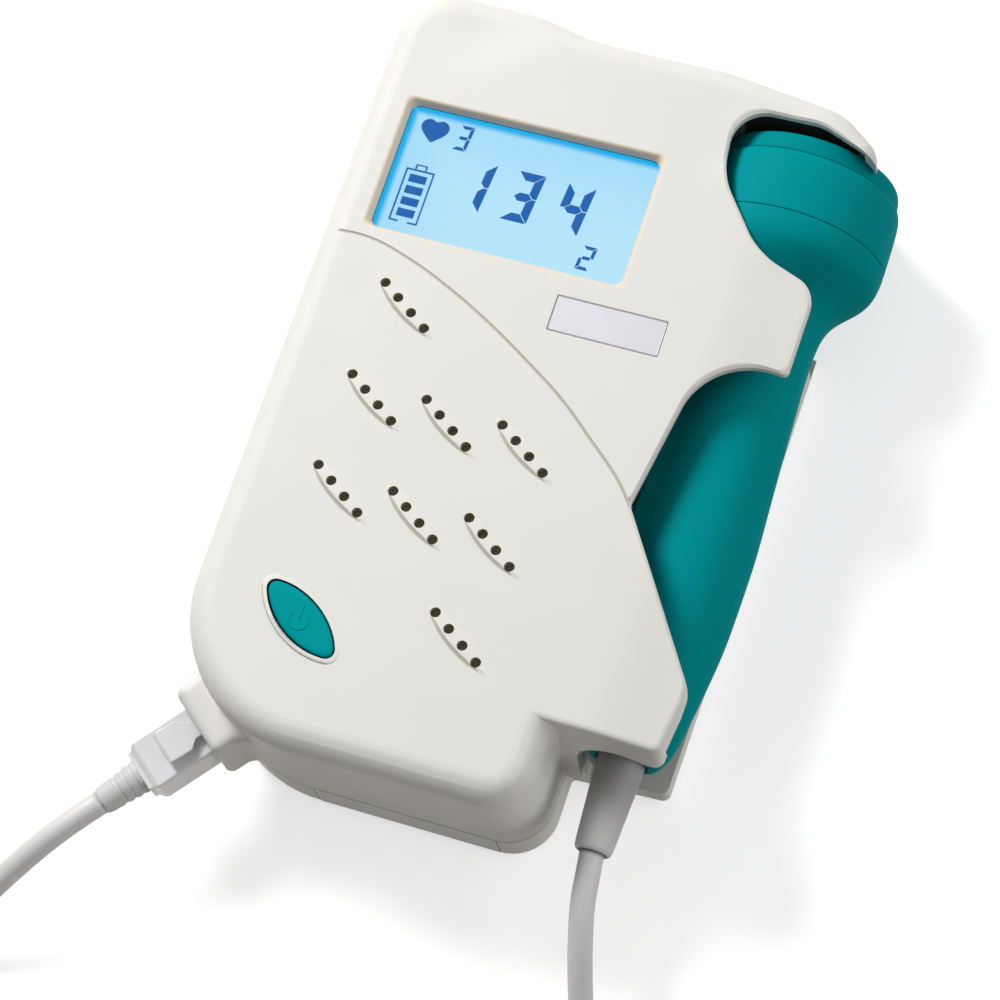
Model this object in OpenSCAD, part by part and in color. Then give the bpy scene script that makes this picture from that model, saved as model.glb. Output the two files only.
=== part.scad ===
// Pocket ultrasound doppler: a hand-held unit with a backlit display and a
// loudspeaker, and a flat-head probe that docks along its right side.
// The unit lies on its back: Z points out of the front, Y towards the display.

/* [Case] */
// Length of the case along Y
case_l = 139; // [134:0.5:146]
// Width of the case, from its plain side to the edges of the dock flaps
case_w = 84.9; // [82:0.1:90]
// Thickness of the case, from the back face to the front face
case_h = 35; // [34.6:0.1:37]
// Height of the back cover, where it meets the front cover
back_h = 9; // [8:0.5:10]
// Thickness of the side walls and of the back
wall = 2; // [1.6:0.1:2.2]
// Thickness of the front skin
skin = 1.7; // [1.4:0.1:1.8]
// Rounding of the front edge
edge_r = 4; // [3:0.5:5]
// Radius of the large corner that carries the lead socket
corner_r = 25; // [24:0.5:28]
// Width of the battery end, which reaches past the dock
bulge_w = 65.6; // [64:0.2:67]
// How far the battery end reaches past the dock
bulge_l = 15.9; // [14:0.1:17]
// How far the hood over the probe's face stands out past the flaps
hood_out = 3.4; // [2:0.1:4]
// Thickness of the wall between the electronics and the dock
liner_t = 1.6; // [1.2:0.1:2]
// Height of the back cover's rim along the dock
rim_h = 6; // [4:0.1:6.2]

/* [Display] */
// Width of the display opening
lcd_w = 45.3; // [40:0.1:46]
// Height of the display opening
lcd_h = 24; // [20:0.1:26]
// Distance from the plain side to the display opening
lcd_side = 7.9; // [7:0.1:9]
// Distance from the top end to the display opening
lcd_down = 22.9; // [20:0.1:26]
// Depth of the display window below the front face
lcd_recess = 1.2; // [0.4:0.1:1.4]
// Thickness of the display window
window_t = 1.5; // [1:0.1:2]
// Thickness of the display module behind the window
module_t = 5; // [4:0.1:5.5]

/* [Name plate] */
// Length of the bare name plate
plate_w = 19.6; // [15:0.1:24]
// Height of the bare name plate
plate_h = 6.6; // [5:0.1:8]
// Thickness of the name plate
plate_t = 0.6; // [0.4:0.1:0.8]

/* [Speaker] */
// Diameter of the loudspeaker
speaker_d = 36; // [30:0.5:38]
// Thickness of the loudspeaker with its magnet
speaker_t = 9.5; // [8:0.1:10]
// Diameter of one sound hole
hole_d = 1.9; // [1.4:0.1:2.2]
// Spacing of the sound holes along a rib
hole_pitch = 3.7; // [3:0.1:4.2]
// Length of one raised rib with its row of holes
rib_l = 18; // [15:0.5:19]
// Width of one raised rib
rib_w = 4.2; // [3.4:0.1:5]
// Height of a rib above the front face
rib_up = 0.4; // [0.2:0.1:0.6]

/* [Power button] */
// Length of the leaf-shaped button
button_l = 16.8; // [12:0.2:18]
// Width of the leaf-shaped button
button_w = 7.4; // [6:0.1:8.4]
// Travel of the button when it is pressed
button_travel = 0.8; // [0.4:0.1:1]
// Width of the raised rim around the button
button_rim = 1.5; // [1:0.1:2]

/* [Probe] */
// Diameter of the probe's flat head
head_d = 35; // [33:0.1:35]
// Length of the head's ring, from its seam to the step under the cap
head_l = 11.3; // [9:0.1:12]
// Diameter of the cap on the head
cap_d = 32.8; // [30:0.1:33.4]
// Length of the cap beyond the ring
cap_l = 3.9; // [2:0.1:4]
// Largest diameter of the handle
handle_d = 22.4; // [20.8:0.1:22.4]
// Smallest diameter of the handle, at its neck
neck_d = 20.2; // [18:0.1:20.4]
// Length of the handle, from its lower end to the head's seam
handle_l = 93.8; // [90:0.1:94]
// Wall of the probe's hollow handle
probe_wall = 1.8; // [1.4:0.1:2.4]
// Slope of the way out of the dock, in degrees below the X axis
undock_a = 22; // [18:0.5:24]

/* [Lead] */
// Diameter of the lead
cord_d = 4.2; // [4:0.1:4.3]
// Large diameter of the strain relief at the probe
boot_d = 8.8; // [7:0.1:9]
// Length of the strain relief beyond the probe
boot_l = 18; // [14:0.1:18.5]
// Whole loops in the coil of the lead
coil_loops = 6; // [4:1:7]
// Free space between neighbouring turns of the coil
turn_gap = 0.6; // [0.5:0.1:0.8]

/* [Battery] */
// Diameter of one round cell
cell_d = 14.5; // [13:0.1:14.8]
// Length of one round cell
cell_l = 50.5; // [44:0.1:51]
// Width of the battery door
door_w = 32.6; // [31:0.1:34]
// Length of the battery door along the back
door_l = 56; // [55:0.5:57]

/* [Controls at the top end] */
// Diameter of the volume wheel
wheel_d = 15.6; // [13:0.1:16]
// Thickness of the volume wheel
wheel_t = 3.2; // [2.4:0.1:3.4]
// Diameter of the earphone socket's bore
jack_d = 3.6; // [3.5:0.1:3.9]

/* [Fit] */
// Clearance around pieces that slide or press
slide_gap = 0.25; // [0.15:0.05:0.35]
// Clearance around pieces that are seated in a recess
seat_gap = 0.1; // [0.05:0.05:0.2]

/* [Hidden] */
$fn = 48;
arc_step = 6;

// Edges of the case
head_out = 8.1;
head_gap = 0.6;
lip = 1.8;
display_gap = 0.4;
display_room = lcd_side + lcd_w + lip + display_gap + liner_t + head_gap + head_d;
overall_w = max(case_w + head_out, display_room);
left = -overall_w / 2;
right = left + overall_w - head_out;
bottom = -case_l / 2;
top = case_l / 2;
bulge_x = left + bulge_w;
dock_y = bottom + bulge_l;
hood_x = right + hood_out;
front_in = case_h - skin;

// The probe's axis runs along Y
probe_x = overall_w / 2 - head_d / 2;
probe_z = head_d / 2 + 0.1;
dock_wall = 1.8;
probe_board_t = 1.6;
probe_board_from = 24;
chip_w = 6;
chips = 4;
disc_d = 7;
disc_t = 0.8;
probe_end = dock_y + dock_wall + 1;
seam_y = probe_end + handle_l;
step_y = seam_y + head_l;
face_y = step_y + cap_l;

// The dock's inside, seen from the front
bay_x = probe_x - handle_d / 2 - 1.1;
bay_head_x = probe_x - head_d / 2 - head_gap;
bay_top = face_y + 1.7;
bay_back = face_y + 0.6;
far = right + 30;

// The socket's corner
corner_c = [left + corner_r, bottom + corner_r];
socket_a = 231;
socket_w = 13.8;
socket_h = 13.5;
socket_z = 12;
socket_out = corner_r + 4.9;
plug_w = 9.5;
plug_t = 7;
plug_z = 17.5;
plug_in = 9;
plug_out = 12.3;
plug_end = socket_out + plug_out;
hood_l = 8;
socket_top = socket_z + socket_h;

// Battery compartment
door_x = left + 25.1;
door_mid = door_x + door_w / 2;
door_t = wall;
tongue = 0.8;
box_wall = 1.2;
cell_gap = 0.5;
cell_z = door_t + 0.6 + cell_d / 2;
cell_x = (cell_d + cell_gap) / 2;
box_in = 2 * cell_d + 2.6;
box_y = bottom + wall + 0.3;
box_l = cell_l + 2.6;
box_end = box_y + box_l + 2 * box_wall;
cell_y = box_y + box_wall + 1.3;
box_top = cell_z + cell_d / 2 + 0.3;
post_d = 4;
post_x = (box_in - post_d) / 2 - 2.8;
contact_w = 10;
contact_t = 0.4;
spring_d = 6;
nub_d = 5.5;
nub_l = 1.2;
grip_w = 16;
grip_pitch = 1.8;
grips = 6;

// Board, between the speaker and the battery box; the speaker's magnet may dip into its hole
board_t = 1.6;
speaker_gap = 1;
speaker_top = front_in - 0.8;
speaker_low = speaker_top - speaker_t;
board_top = max(speaker_low - speaker_gap, box_top + box_wall + display_gap + board_t);
board_z = board_top - board_t;

// Screws that hold the back cover
screw_d = 2.4;
screw_head_d = 4.4;
screw_seat = 2.2;
screw_l = 16;
boss_d = 6;
boss_gap = 0.7;
screw_side = 6;
screw_at = [
    [left + screw_side, top - 8],
    [left + 49.5, top - 12.5],
    [left + screw_side, bottom + 49.5],
    [bay_x - 5.5, box_end + boss_d / 2 + boss_gap]];

// Display
lcd_x = left + lcd_side;
lcd_y = top - lcd_down - lcd_h;
window_top = case_h - lcd_recess;
window_z = window_top - window_t;
module_z = window_z - module_t;

// Name plate
plate_x = lcd_x + lcd_w - plate_w + 10.2;
plate_y = lcd_y - 4.6 - plate_h;

// Sound holes: first hole of each row, counted from the corner of the case
rib_a = -35;
rib_at = [[14.6, 82], [14.6, 64.6], [28.3, 63.5], [42.1, 62.5], [14.4, 47.6], [28.1, 46.5], [41.9, 45.4],
    [41.7, 28.3]];
holes = 4;
row_l = (holes - 1) * hole_pitch;
speaker_side = 33;
speaker_up = 48;
speaker_at = [left + speaker_side, bottom + speaker_up];
magnet_d = speaker_d / 2;
magnet_l = 5.5;
speaker_rim = 1.5;
foam_w = 2.5;

// Button
button_side = 20.5;
button_y = 21.2;
button_at = [left + button_side, bottom + button_y];
button_a = -34.5;
button_up = 0.3;

// Top end controls
top_low = top - 2.3;
wheel_at = [left + 19.5, top + 1.3 - wheel_d / 2];
wheel_z = 13.8;
jack_at = left + 38.5;
jack_z = 16.5;
jack_l = 12;
jack_w = 8;
jack_nose_d = 6.2;

// Route of the lead from the probe to the coil, chosen by hand
route_probe = [[29, -68.8, 17.6], [29.5, -73, 17.6], [30, -77, 17.2], [31, -82, 15.4], [32.2, -87, 12.6],
    [33.6, -92, 9.4], [35.2, -97, 6.4], [36.9, -102, 4.2], [38.6, -107, 2.8], [40.3, -113, 2.2],
    [41.7, -119, 2.2], [42.3, -125.2, 2.2], [41.6, -133, 2.2], [39.6, -140.6, 2.2], [36.3, -147.7, 2.2],
    [33.32, -152.24, 2.2]];
// Route of the lead from the coil to the plug, chosen by hand
route_plug = [[1.8, -168, 6.9], [-7.5, -168, 6.4], [-17, -168, 4.8], [-26.5, -168, 3], [-35.5, -168, 2.2],
    [-45, -168, 2.2], [-54, -166, 2.2], [-62.5, -162.5, 2.2], [-70, -156.5, 2.2], [-75.5, -149, 2.2],
    [-79, -140.5, 2.2], [-80.5, -131, 2.2], [-79.5, -122, 2.2], [-76, -113, 4.2], [-71, -105.5, 8.8],
    [-65, -98, 13.6], [-59.5, -91.4, 16.8], [-56, -87.1, 17.5], [-53.1, -83.52, 17.5]];
// The coil starts where the first route ends and stops where the second begins
coil_c = [6, -137];
coil_out = 31;
coil_from = atan2(-3, 4);
coil_to = -90;
coil_z = 2.2;
coil_sides = 6;
loop_rings = 24;

// Flat helpers
function unit(v) = v / norm(v);
function turn_of(a, b) = atan2(a[0] * b[1] - a[1] * b[0], a[0] * b[0] + a[1] * b[1]);
function spin(v, a) = [v[0] * cos(a) - v[1] * sin(a), v[0] * sin(a) + v[1] * cos(a)];
function flat(c) = [c[0], c[1]];

// One corner [x, y, radius] of an anticlockwise outline, moved inward by d, as points of its arc
function corner_arc(c, i, d) =
    let (n = len(c),
         p = flat(c[i]),
         a = unit(p - flat(c[(i + n - 1) % n])),
         b = unit(flat(c[(i + 1) % n]) - p),
         na = [-a[1], a[0]],
         nb = [-b[1], b[0]],
         q = p + (na + nb) * d / (1 + na * nb),
         turn = turn_of(a, b),
         side = turn > 0 ? 1 : -1,
         r = max(c[i][2] - side * d, 0.05),
         steps = c[i][2] == 0 ? 0 : max(2, ceil(abs(turn) / arc_step)),
         s = q - a * r * tan(abs(turn) / 2),
         m = s + na * side * r)
    steps == 0 ? [q] : [for (k = [0:steps]) m + spin(s - m, turn * k / steps)];
function rounded(c, d = 0) = [for (i = [0:len(c) - 1]) each corner_arc(c, i, d)];

// Outline of the case seen from the front
body_corners = [
    [left, bottom, corner_r],
    [bulge_x, bottom, 8],
    [bulge_x, dock_y, 4],
    [hood_x, dock_y, 2],
    [hood_x, top - 11.1, 1.5],
    [hood_x - 7.8, top - 5.2, 12],
    [hood_x - 29.8, top_low, 30],
    [left + 34.5, top_low, 20],
    [left + 23.5, top, 15],
    [left, top, 8.5]];

// What the front leaves open over the dock, anticlockwise from the lower right
open_corners = [
    [far, dock_y - 8, 0],
    [far, bay_top - 15, 0],
    [hood_x - 0.2, bay_top - 4.2, 0.3],
    [probe_x + 2.5, bay_top - 0.1, 8],
    [probe_x - 12.9, bay_top - 0.1, 6],
    [probe_x - 11.5, bay_top - 13.1, 14],
    [probe_x - 1.5, bay_top - 25.7, 12],
    [right + 0.2, bay_top - 29.1, 4.5],
    [right, bay_top - 45.4, 0.8],
    [probe_x - 4, bay_top - 45, 12.4],
    [probe_x - 8.8, bay_top - 74.5, 2],
    [right, dock_y + 12.1, 5],
    [right, dock_y - 8, 0]];

// The dock's inside: below the flaps, and between the flaps' edges and the front skin
bay_left = [
    [bay_head_x, bay_top, 5],
    [bay_head_x, bay_top - 20.9, 3],
    [bay_x, bay_top - 30, 3],
    [bay_x, dock_y + dock_wall, 0]];
bay_low = concat(bay_left, [
    [far, dock_y + dock_wall, 0],
    [far, bay_back, 0],
    [probe_x + 6, bay_back, 1],
    [probe_x + 3, bay_top, 3]]);
bay_high = concat(bay_left, [
    [right - 1.5, dock_y + dock_wall, 0],
    [right - 1.5, dock_y + 18, 0],
    [far, dock_y + 18, 0],
    [far, bay_top - 15, 0],
    [hood_x - 0.6, bay_top - 4.1, 1],
    [probe_x + 2.5, bay_top, 8]]);

// A solid between two heights over an outline
module slab(points, z0, z1) {
    translate([0, 0, z0]) linear_extrude(height = z1 - z0) polygon(points);
}

// A solid through rings [height, inset] of one outline, closed at a hub point that sees every corner
module loft(corners, rings, hub) {
    pts = [for (s = rings) [for (p = rounded(corners, s[1])) [p[0], p[1], s[0]]]];
    n = len(pts[0]);
    last = len(rings) - 1;
    all = [for (ring = pts) each ring];
    hub_low = len(all);
    hub_high = hub_low + 1;
    sides = [for (k = [0:last - 1], i = [0:n - 1])
        let (j = (i + 1) % n) each [
            [k * n + i, (k + 1) * n + i, (k + 1) * n + j],
            [k * n + i, (k + 1) * n + j, k * n + j]]];
    low = [for (i = [0:n - 1]) [hub_low, i, (i + 1) % n]];
    high = [for (i = [0:n - 1]) [hub_high, last * n + (i + 1) % n, last * n + i]];
    polyhedron(concat(all, [[hub[0], hub[1], rings[0][0]], [hub[0], hub[1], rings[last][0]]]),
        concat(sides, low, high));
}

// A pointed leaf from two arcs, lying along X
module leaf(l, w) {
    r = (l * l / 4 + w * w / 4) / w;
    intersection() {
        translate([0, r - w / 2]) circle(r, $fn = 120);
        translate([0, w / 2 - r]) circle(r, $fn = 120);
    }
}

module at_button() {
    translate([button_at[0], button_at[1], 0]) rotate(button_a) children();
}

module at_socket() {
    translate([corner_c[0], corner_c[1], 0]) rotate(socket_a) children();
}

module at_probe() {
    translate([probe_x, 0, probe_z]) rotate([-90, 0, 0]) children();
}

// A box in the socket's frame: out to the far end, width and height centred
module socket_bar(r0, r1, w, z0, z1) {
    translate([r0, -w / 2, z0]) cube([r1 - r0, w, z1 - z0]);
}

module screw_holes(d, z0, z1) {
    for (p = screw_at) translate([p[0], p[1], z0]) cylinder(d = d, h = z1 - z0);
}

// Electronics space between two heights, clear of the dock's wall
module cavity(inset, z0, z1) {
    difference() {
        slab(rounded(body_corners, inset), z0, z1);
        slab(rounded(bay_low, -liner_t), z0 - 1, z1 + 1);
    }
}

module socket_block() {
    block = [
        [corner_r - 6, -socket_w / 2, 0],
        [socket_out, -socket_w / 2, 1.5],
        [socket_out, socket_w / 2, 1.5],
        [corner_r - 6, socket_w / 2, 0]];
    at_socket() slab(rounded(block), socket_z, socket_top);
}

module sound_rows() {
    for (p = rib_at)
        translate([left + p[0], bottom + p[1], 0]) rotate(rib_a) children();
}

// Raised lens-shaped ribs around the rows of sound holes
module ribs() {
    sound_rows() translate([row_l / 2, 0, case_h - 0.5])
        linear_extrude(height = 0.5 + rib_up) leaf(rib_l, rib_w);
}

module sound_holes() {
    sound_rows() for (i = [0:holes - 1]) translate([i * hole_pitch, 0, front_in - 1])
        cylinder(d = hole_d, h = skin + rib_up + 2, $fn = 24);
}

module button_ring() {
    at_button() translate([0, 0, case_h - 0.5])
        linear_extrude(height = 0.9) leaf(button_l + 4 * button_rim, button_w + 2 * button_rim);
}

// Room around the probe's head, and below the hood's tip for its cap on the way out
module probe_room() {
    gap = 0.4;
    r = cap_d / 2 + gap;
    edge = [for (a = [0:15:180]) [r * sin(a) * sin(undock_a), r * cos(a)]];
    translate([0, seam_y - 3.5, 0]) at_probe() cylinder(r = head_d / 2 + gap, h = head_l);
    translate([0, seam_y - 6, 0]) at_probe() cylinder(r = head_d / 2 - gap, h = 4);
    intersection() {
        translate([probe_x, face_y + gap, probe_z]) rotate([0, 0, -undock_a]) rotate([90, 0, 90])
            linear_extrude(height = 20) polygon(concat([[-6, r]], edge, [[-6, -r]]));
        translate([probe_x + 5, face_y - 12, back_h]) cube([30, 12 + gap, front_in - back_h]);
    }
}

module boot_arch() {
    arch_r = boot_d / 2 + 3;
    arch_z = probe_z + 2.6;
    reach = 8;
    translate([probe_x + 0.6, dock_y - 3, arch_z]) rotate([-90, 0, 0]) cylinder(r = arch_r, h = reach);
    translate([probe_x + 0.6 - arch_r, dock_y - 3, back_h - 1]) cube([far, reach, arch_z - back_h + 1]);
    translate([probe_x + 0.6, dock_y - 3, back_h - 1]) cube([far, reach, probe_z + 8.6 - back_h + 1]);
}

module front_cover() color("#e9e8e4") {
    bend = [for (a = [0:22.5:90]) [case_h - edge_r * (1 - sin(a)), edge_r * (1 - cos(a))]];
    step_z = case_h - edge_r - 0.5;
    flap_z = probe_z + handle_d / 2 - 0.2;
    difference() {
        union() {
            loft(body_corners, concat([[back_h, 0]], bend), [left + 41.5, 0]);
            socket_block();
            ribs();
            button_ring();
        }
        cavity(wall, back_h - 1, step_z);
        cavity(wall + 1.6, step_z - 1, front_in);
        slab(rounded(bay_low), back_h - 1, flap_z);
        slab(rounded(bay_high), flap_z - 1, front_in);
        slab(rounded(open_corners), back_h - 1, case_h + 5);
        probe_room();
        boot_arch();
        sound_holes();
        translate([lcd_x, lcd_y, front_in - 1]) cube([lcd_w, lcd_h, skin + 2]);
        translate([plate_x, plate_y, case_h - plate_t]) cube([plate_w, plate_h, plate_t + 1]);
        at_button() translate([0, 0, front_in - 1])
            linear_extrude(height = 6) leaf(button_l + 2 * slide_gap, button_w + 2 * slide_gap);
        at_socket() socket_bar(corner_r - 10, socket_out + 1, socket_w - 2, socket_z + 1, socket_top - 1.8);
        translate([wheel_at[0] - 7, top - 6, wheel_z - 0.5]) cube([14, 8, wheel_t + 1]);
        translate([jack_at, top - 6, jack_z]) rotate([-90, 0, 0]) cylinder(d = jack_nose_d + 0.3, h = 8);
    }
    difference() {
        for (p = screw_at) translate([p[0], p[1], back_h]) {
            cylinder(d = boss_d, h = front_in - back_h + 0.3);
            translate([0, 0, board_top - back_h]) cylinder(d = boss_d + 1.6, h = front_in + 0.3 - board_top);
        }
        screw_holes(screw_d + 0.1, back_h - 1, screw_seat + screw_l + 0.8);
    }
}

module back_cover() color("#dedcd6") {
    bend = [[0, 1.6], [0.5, 0.6], [1.6, 0], [back_h, 0]];
    rim_y = dock_y - 1.4;
    rim_from = bulge_x + 3.2;
    back_corners = [
        [left, bottom, corner_r],
        [bulge_x, bottom, 8],
        [bulge_x, rim_y, 3],
        [right - 2.8, rim_y, 2],
        [right - 0.9, dock_y + 86, 3],
        [hood_x - 0.4, dock_y + 100, 3],
        [hood_x - 0.4, top - 11.1, 1.5],
        [hood_x - 7.8, top - 5.2, 12],
        [hood_x - 29.8, top_low, 30],
        [left + 34.5, top_low, 20],
        [left + 23.5, top, 15],
        [left, top, 8.5]];
    tray = [
        [bay_x, rim_y + wall, 0],
        [right - 2.8 - wall, rim_y + wall, 0],
        [right - 1 - wall, bay_top - 33, 0],
        [far, bay_top - 33, 0],
        [far, bay_back, 0],
        [probe_x + 6, bay_back, 1],
        [probe_x + 3, bay_top, 3],
        [bay_head_x, bay_top, 5],
        [bay_head_x, bay_top - 20.9, 3],
        [bay_x, bay_top - 30, 3]];
    difference() {
        union() {
            difference() {
                loft(back_corners, bend, [left + 41.5, 0]);
                difference() {
                    slab(rounded(back_corners, wall), wall, back_h + 1);
                    slab(rounded(bay_low, -liner_t), wall - 1, back_h + 2);
                    translate([bay_x - liner_t, bottom, wall - 1]) cube([far, dock_y + 3 - bottom, back_h]);
                }
                difference() {
                    slab(rounded(back_corners, wall), wall, back_h + 1);
                    slab([[left, dock_y - 1.4 - wall], [far, dock_y - 1.4 - wall], [far, top], [left, top]],
                        wall - 1, back_h + 2);
                }
                slab(rounded(tray), wall, back_h + 1);
                slab([[rim_from, rim_y - 1], [far, rim_y - 1], [far, bay_top - 10], [bay_x, bay_top - 30],
                    [bay_x, rim_y + wall], [rim_from, rim_y + wall]], rim_h, back_h + 1);
                slab([[bay_head_x + 0.1, bay_top - 22], [bay_x, bay_top - 26.4], [far, bay_top - 34],
                    [far, bay_back], [probe_x + 6, bay_back], [probe_x + 3, bay_top],
                    [bay_head_x + 0.1, bay_top]], -1, back_h + 1);
            }
            for (p = screw_at) translate([p[0], p[1], 0]) cylinder(d = boss_d, h = back_h);
            for (s = [[15, 10.1], [65, 10.3]])
                translate([probe_x - 5, probe_end + s[0] - 1, wall - 0.2])
                    cube([7, 2, probe_z - s[1] - 0.45 - wall + 0.2]);
        }
        translate([door_x - 0.2, bottom - 1, -1]) cube([door_w + 0.4, door_l + 1.2, door_t + 1]);
        translate([door_x - 0.2, bottom - 1, -1]) cube([door_w + 0.4, wall + 1.1, back_h + 3]);
        translate([door_x - tongue - 0.2, bottom - 1, 0.7])
            cube([door_w + 2 * tongue + 0.4, door_l - 7.8, 0.9]);
        screw_holes(screw_d + 0.4, -1, back_h + 1);
        screw_holes(screw_head_d + 0.6, -1, screw_seat);
    }
}

module display_window() color("#cfe8f4", 0.35) {
    translate([lcd_x + seat_gap, lcd_y + seat_gap, window_z])
        cube([lcd_w - 2 * seat_gap, lcd_h - 2 * seat_gap, window_t]);
}

// A plate behind the display opening that reaches past its edges
module display_plate(z0, z1) {
    translate([lcd_x - lip, lcd_y - lip, z0]) cube([lcd_w + 2 * lip, lcd_h + 2 * lip, z1 - z0]);
}

module display_module() color("#a9e0fa") display_plate(module_z, window_z);

// Foam frame between the module and the front skin
module display_gasket() color("#3a3c3e") {
    difference() {
        display_plate(window_z, front_in);
        translate([lcd_x, lcd_y, window_z - 1]) cube([lcd_w, lcd_h, 5]);
    }
}

module display_holder() color("#d8d8d2") {
    difference() {
        display_plate(board_top, module_z);
        translate([lcd_x, lcd_y, board_top - 1]) cube([lcd_w, lcd_h, module_z - board_top + 2]);
    }
}

module main_board() color("#1f6b45") {
    edge = bay_head_x - liner_t - 0.6;
    outline = [
        [left + wall + 1, bottom + corner_r + 6, 0],
        [left + corner_r - 3.5, bottom + corner_r / 2, 0],
        [edge, bottom + corner_r / 2, 1],
        [edge, top - 6.4, 1],
        [left + wall + 1, top - 6.4, 5]];
    difference() {
        slab(rounded(outline), board_z, board_top);
        screw_holes(boss_d + 0.3, board_z - 1, board_top + 1);
        translate([speaker_at[0], speaker_at[1], board_z - 1]) cylinder(d = magnet_d + 1, h = board_t + 2);
    }
}

module speaker() color("#4a4a4c") {
    cone_l = speaker_t - speaker_rim - magnet_l + 1;
    translate([speaker_at[0], speaker_at[1], speaker_low]) {
        cylinder(d = magnet_d, h = magnet_l);
        translate([0, 0, magnet_l - 1]) cylinder(d1 = magnet_d, d2 = speaker_d - 2, h = cone_l);
        translate([0, 0, speaker_t - speaker_rim]) cylinder(d = speaker_d, h = speaker_rim);
    }
}

module speaker_gasket() color("#2e2e30") {
    translate([speaker_at[0], speaker_at[1], speaker_top]) difference() {
        cylinder(d = speaker_d, h = front_in - speaker_top);
        translate([0, 0, -1]) cylinder(d = speaker_d - 2 * foam_w, h = 4);
    }
}

module tact_switch() color("#303236") {
    plunger = front_in - 0.3 - 1.2 - 1.6 - button_travel - 0.3;
    at_button() {
        translate([-3, -3, board_top]) cube([6, 6, 3.5]);
        translate([0, 0, board_top + 3]) cylinder(d = 3.4, h = plunger - board_top - 3);
    }
}

module button_cap() color("#00989c") {
    flange_top = front_in - 0.3;
    at_button() {
        translate([0, 0, flange_top - 1.2]) linear_extrude(height = 1.2) leaf(button_l + 2, button_w + 1.4);
        translate([0, 0, flange_top - 0.2])
            linear_extrude(height = case_h + button_up - flange_top + 0.2) leaf(button_l, button_w);
        translate([0, 0, flange_top - 2.8]) cylinder(d = 4, h = 2);
    }
}

module name_plate() color("#d9d8e0") {
    translate([plate_x + seat_gap, plate_y + seat_gap, case_h - plate_t])
        cube([plate_w - 2 * seat_gap, plate_h - 2 * seat_gap, plate_t]);
}

// The socket's insert, with its well for the plug and a slot for the latch
module lead_socket() color("#3b3d40") {
    at_socket() difference() {
        socket_bar(corner_r - 8, socket_out - 0.5, socket_w - 2 - 2 * seat_gap, socket_z + 1 + seat_gap,
            socket_top - 1.8 - seat_gap);
        socket_bar(socket_out - plug_in - 0.3, socket_out + 1, plug_w + 0.3, plug_z - plug_t / 2 - 0.15,
            plug_z + plug_t / 2 + 0.15);
        socket_bar(socket_out - plug_in - 0.3, socket_out + 1, 3.8, plug_z, socket_top - 2.2);
    }
}

module socket_contacts() color("#d8b24a") {
    at_socket() for (i = [-2.5:1:2.5])
        translate([corner_r - 9.4, i * 1.02 - 0.2, plug_z - 3.6]) cube([1.4, 0.4, 6.5]);
}

module volume_pot() color("#2f3f5a") {
    pot_z = wheel_z + wheel_t + 0.3;
    translate([wheel_at[0], wheel_at[1], 0]) {
        translate([-4.2, -4.2, pot_z]) cube([8.4, 8.4, board_z - pot_z]);
        translate([0, 0, wheel_z - 0.4]) cylinder(d = 3, h = pot_z - wheel_z + 0.4);
    }
}

// Thumb wheel with shallow grip flutes
module volume_wheel() color("#8f9092") {
    translate([wheel_at[0], wheel_at[1], wheel_z]) difference() {
        cylinder(d = wheel_d, h = wheel_t);
        translate([0, 0, -1]) cylinder(d = 3.1, h = wheel_t + 2);
        for (a = [0:15:345]) rotate(a) translate([wheel_d / 2 + 0.3, 0, -1])
            cylinder(d = 1.4, h = wheel_t + 2, $fn = 16);
    }
}

module earphone_jack() color("#26272a") {
    body_z = jack_z - 3.8;
    front = top_low - wall - 0.1;
    difference() {
        union() {
            translate([jack_at - jack_w / 2, front - jack_l, body_z])
                cube([jack_w, jack_l, board_z - body_z]);
            translate([jack_at, front - 0.5, jack_z]) rotate([-90, 0, 0])
                cylinder(d = jack_nose_d, h = wall + 0.6);
        }
        translate([jack_at, front - jack_l + 1, jack_z]) rotate([-90, 0, 0])
            cylinder(d = jack_d, h = jack_l + wall + 2);
    }
}

module case_screws() color("#b8babd") {
    for (p = screw_at) translate([p[0], p[1], 0]) difference() {
        union() {
            translate([0, 0, 0.6]) cylinder(d = screw_head_d, h = screw_seat - 0.6);
            translate([0, 0, screw_seat - 0.1]) cylinder(d = screw_d, h = screw_l);
        }
        for (a = [0, 90]) rotate(a) translate([-1.3, -0.3, 0]) cube([2.6, 0.6, 1.3]);
    }
}

// Box over the cells, standing on the back cover
module battery_box() color("#c9c8c4") {
    w = box_in + 2 * box_wall;
    difference() {
        union() {
            translate([door_mid - w / 2, box_y, wall])
                cube([w, box_l + 2 * box_wall, box_top + box_wall - wall]);
            for (s = [-1, 1]) translate([door_mid + s * post_x, (box_y + box_end) / 2, box_top])
                cylinder(d = post_d, h = board_z - box_top);
        }
        translate([door_mid - box_in / 2, box_y + box_wall, wall - 1])
            cube([box_in, box_l, box_top - wall + 1]);
    }
}

module battery_cells() color("#c07a2c") {
    for (s = [-1, 1])
        translate([door_mid + s * cell_x, cell_y + (s > 0 ? cell_l : 0), cell_z])
            rotate([s > 0 ? 90 : -90, 0, 0]) {
                cylinder(d = cell_d, h = cell_l - nub_l);
                cylinder(d = nub_d, h = cell_l);
            }
}

module battery_contacts() color("#c9ccd0") {
    low = box_y + box_wall;
    high = low + box_l;
    for (s = [-1, 1]) translate([door_mid + s * cell_x, 0, cell_z]) {
        for (y = [low, high - contact_t]) translate([-contact_w / 2, y, -contact_w / 2])
            cube([contact_w, contact_t, contact_w]);
        translate([0, low + 0.3, 0]) rotate([-90, 0, 0])
            cylinder(d = spring_d, h = cell_y - low - 0.3);
        translate([0, cell_y + cell_l, 0]) rotate([-90, 0, 0])
            cylinder(d = spring_d, h = high - 0.3 - cell_y - cell_l);
    }
}

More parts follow.
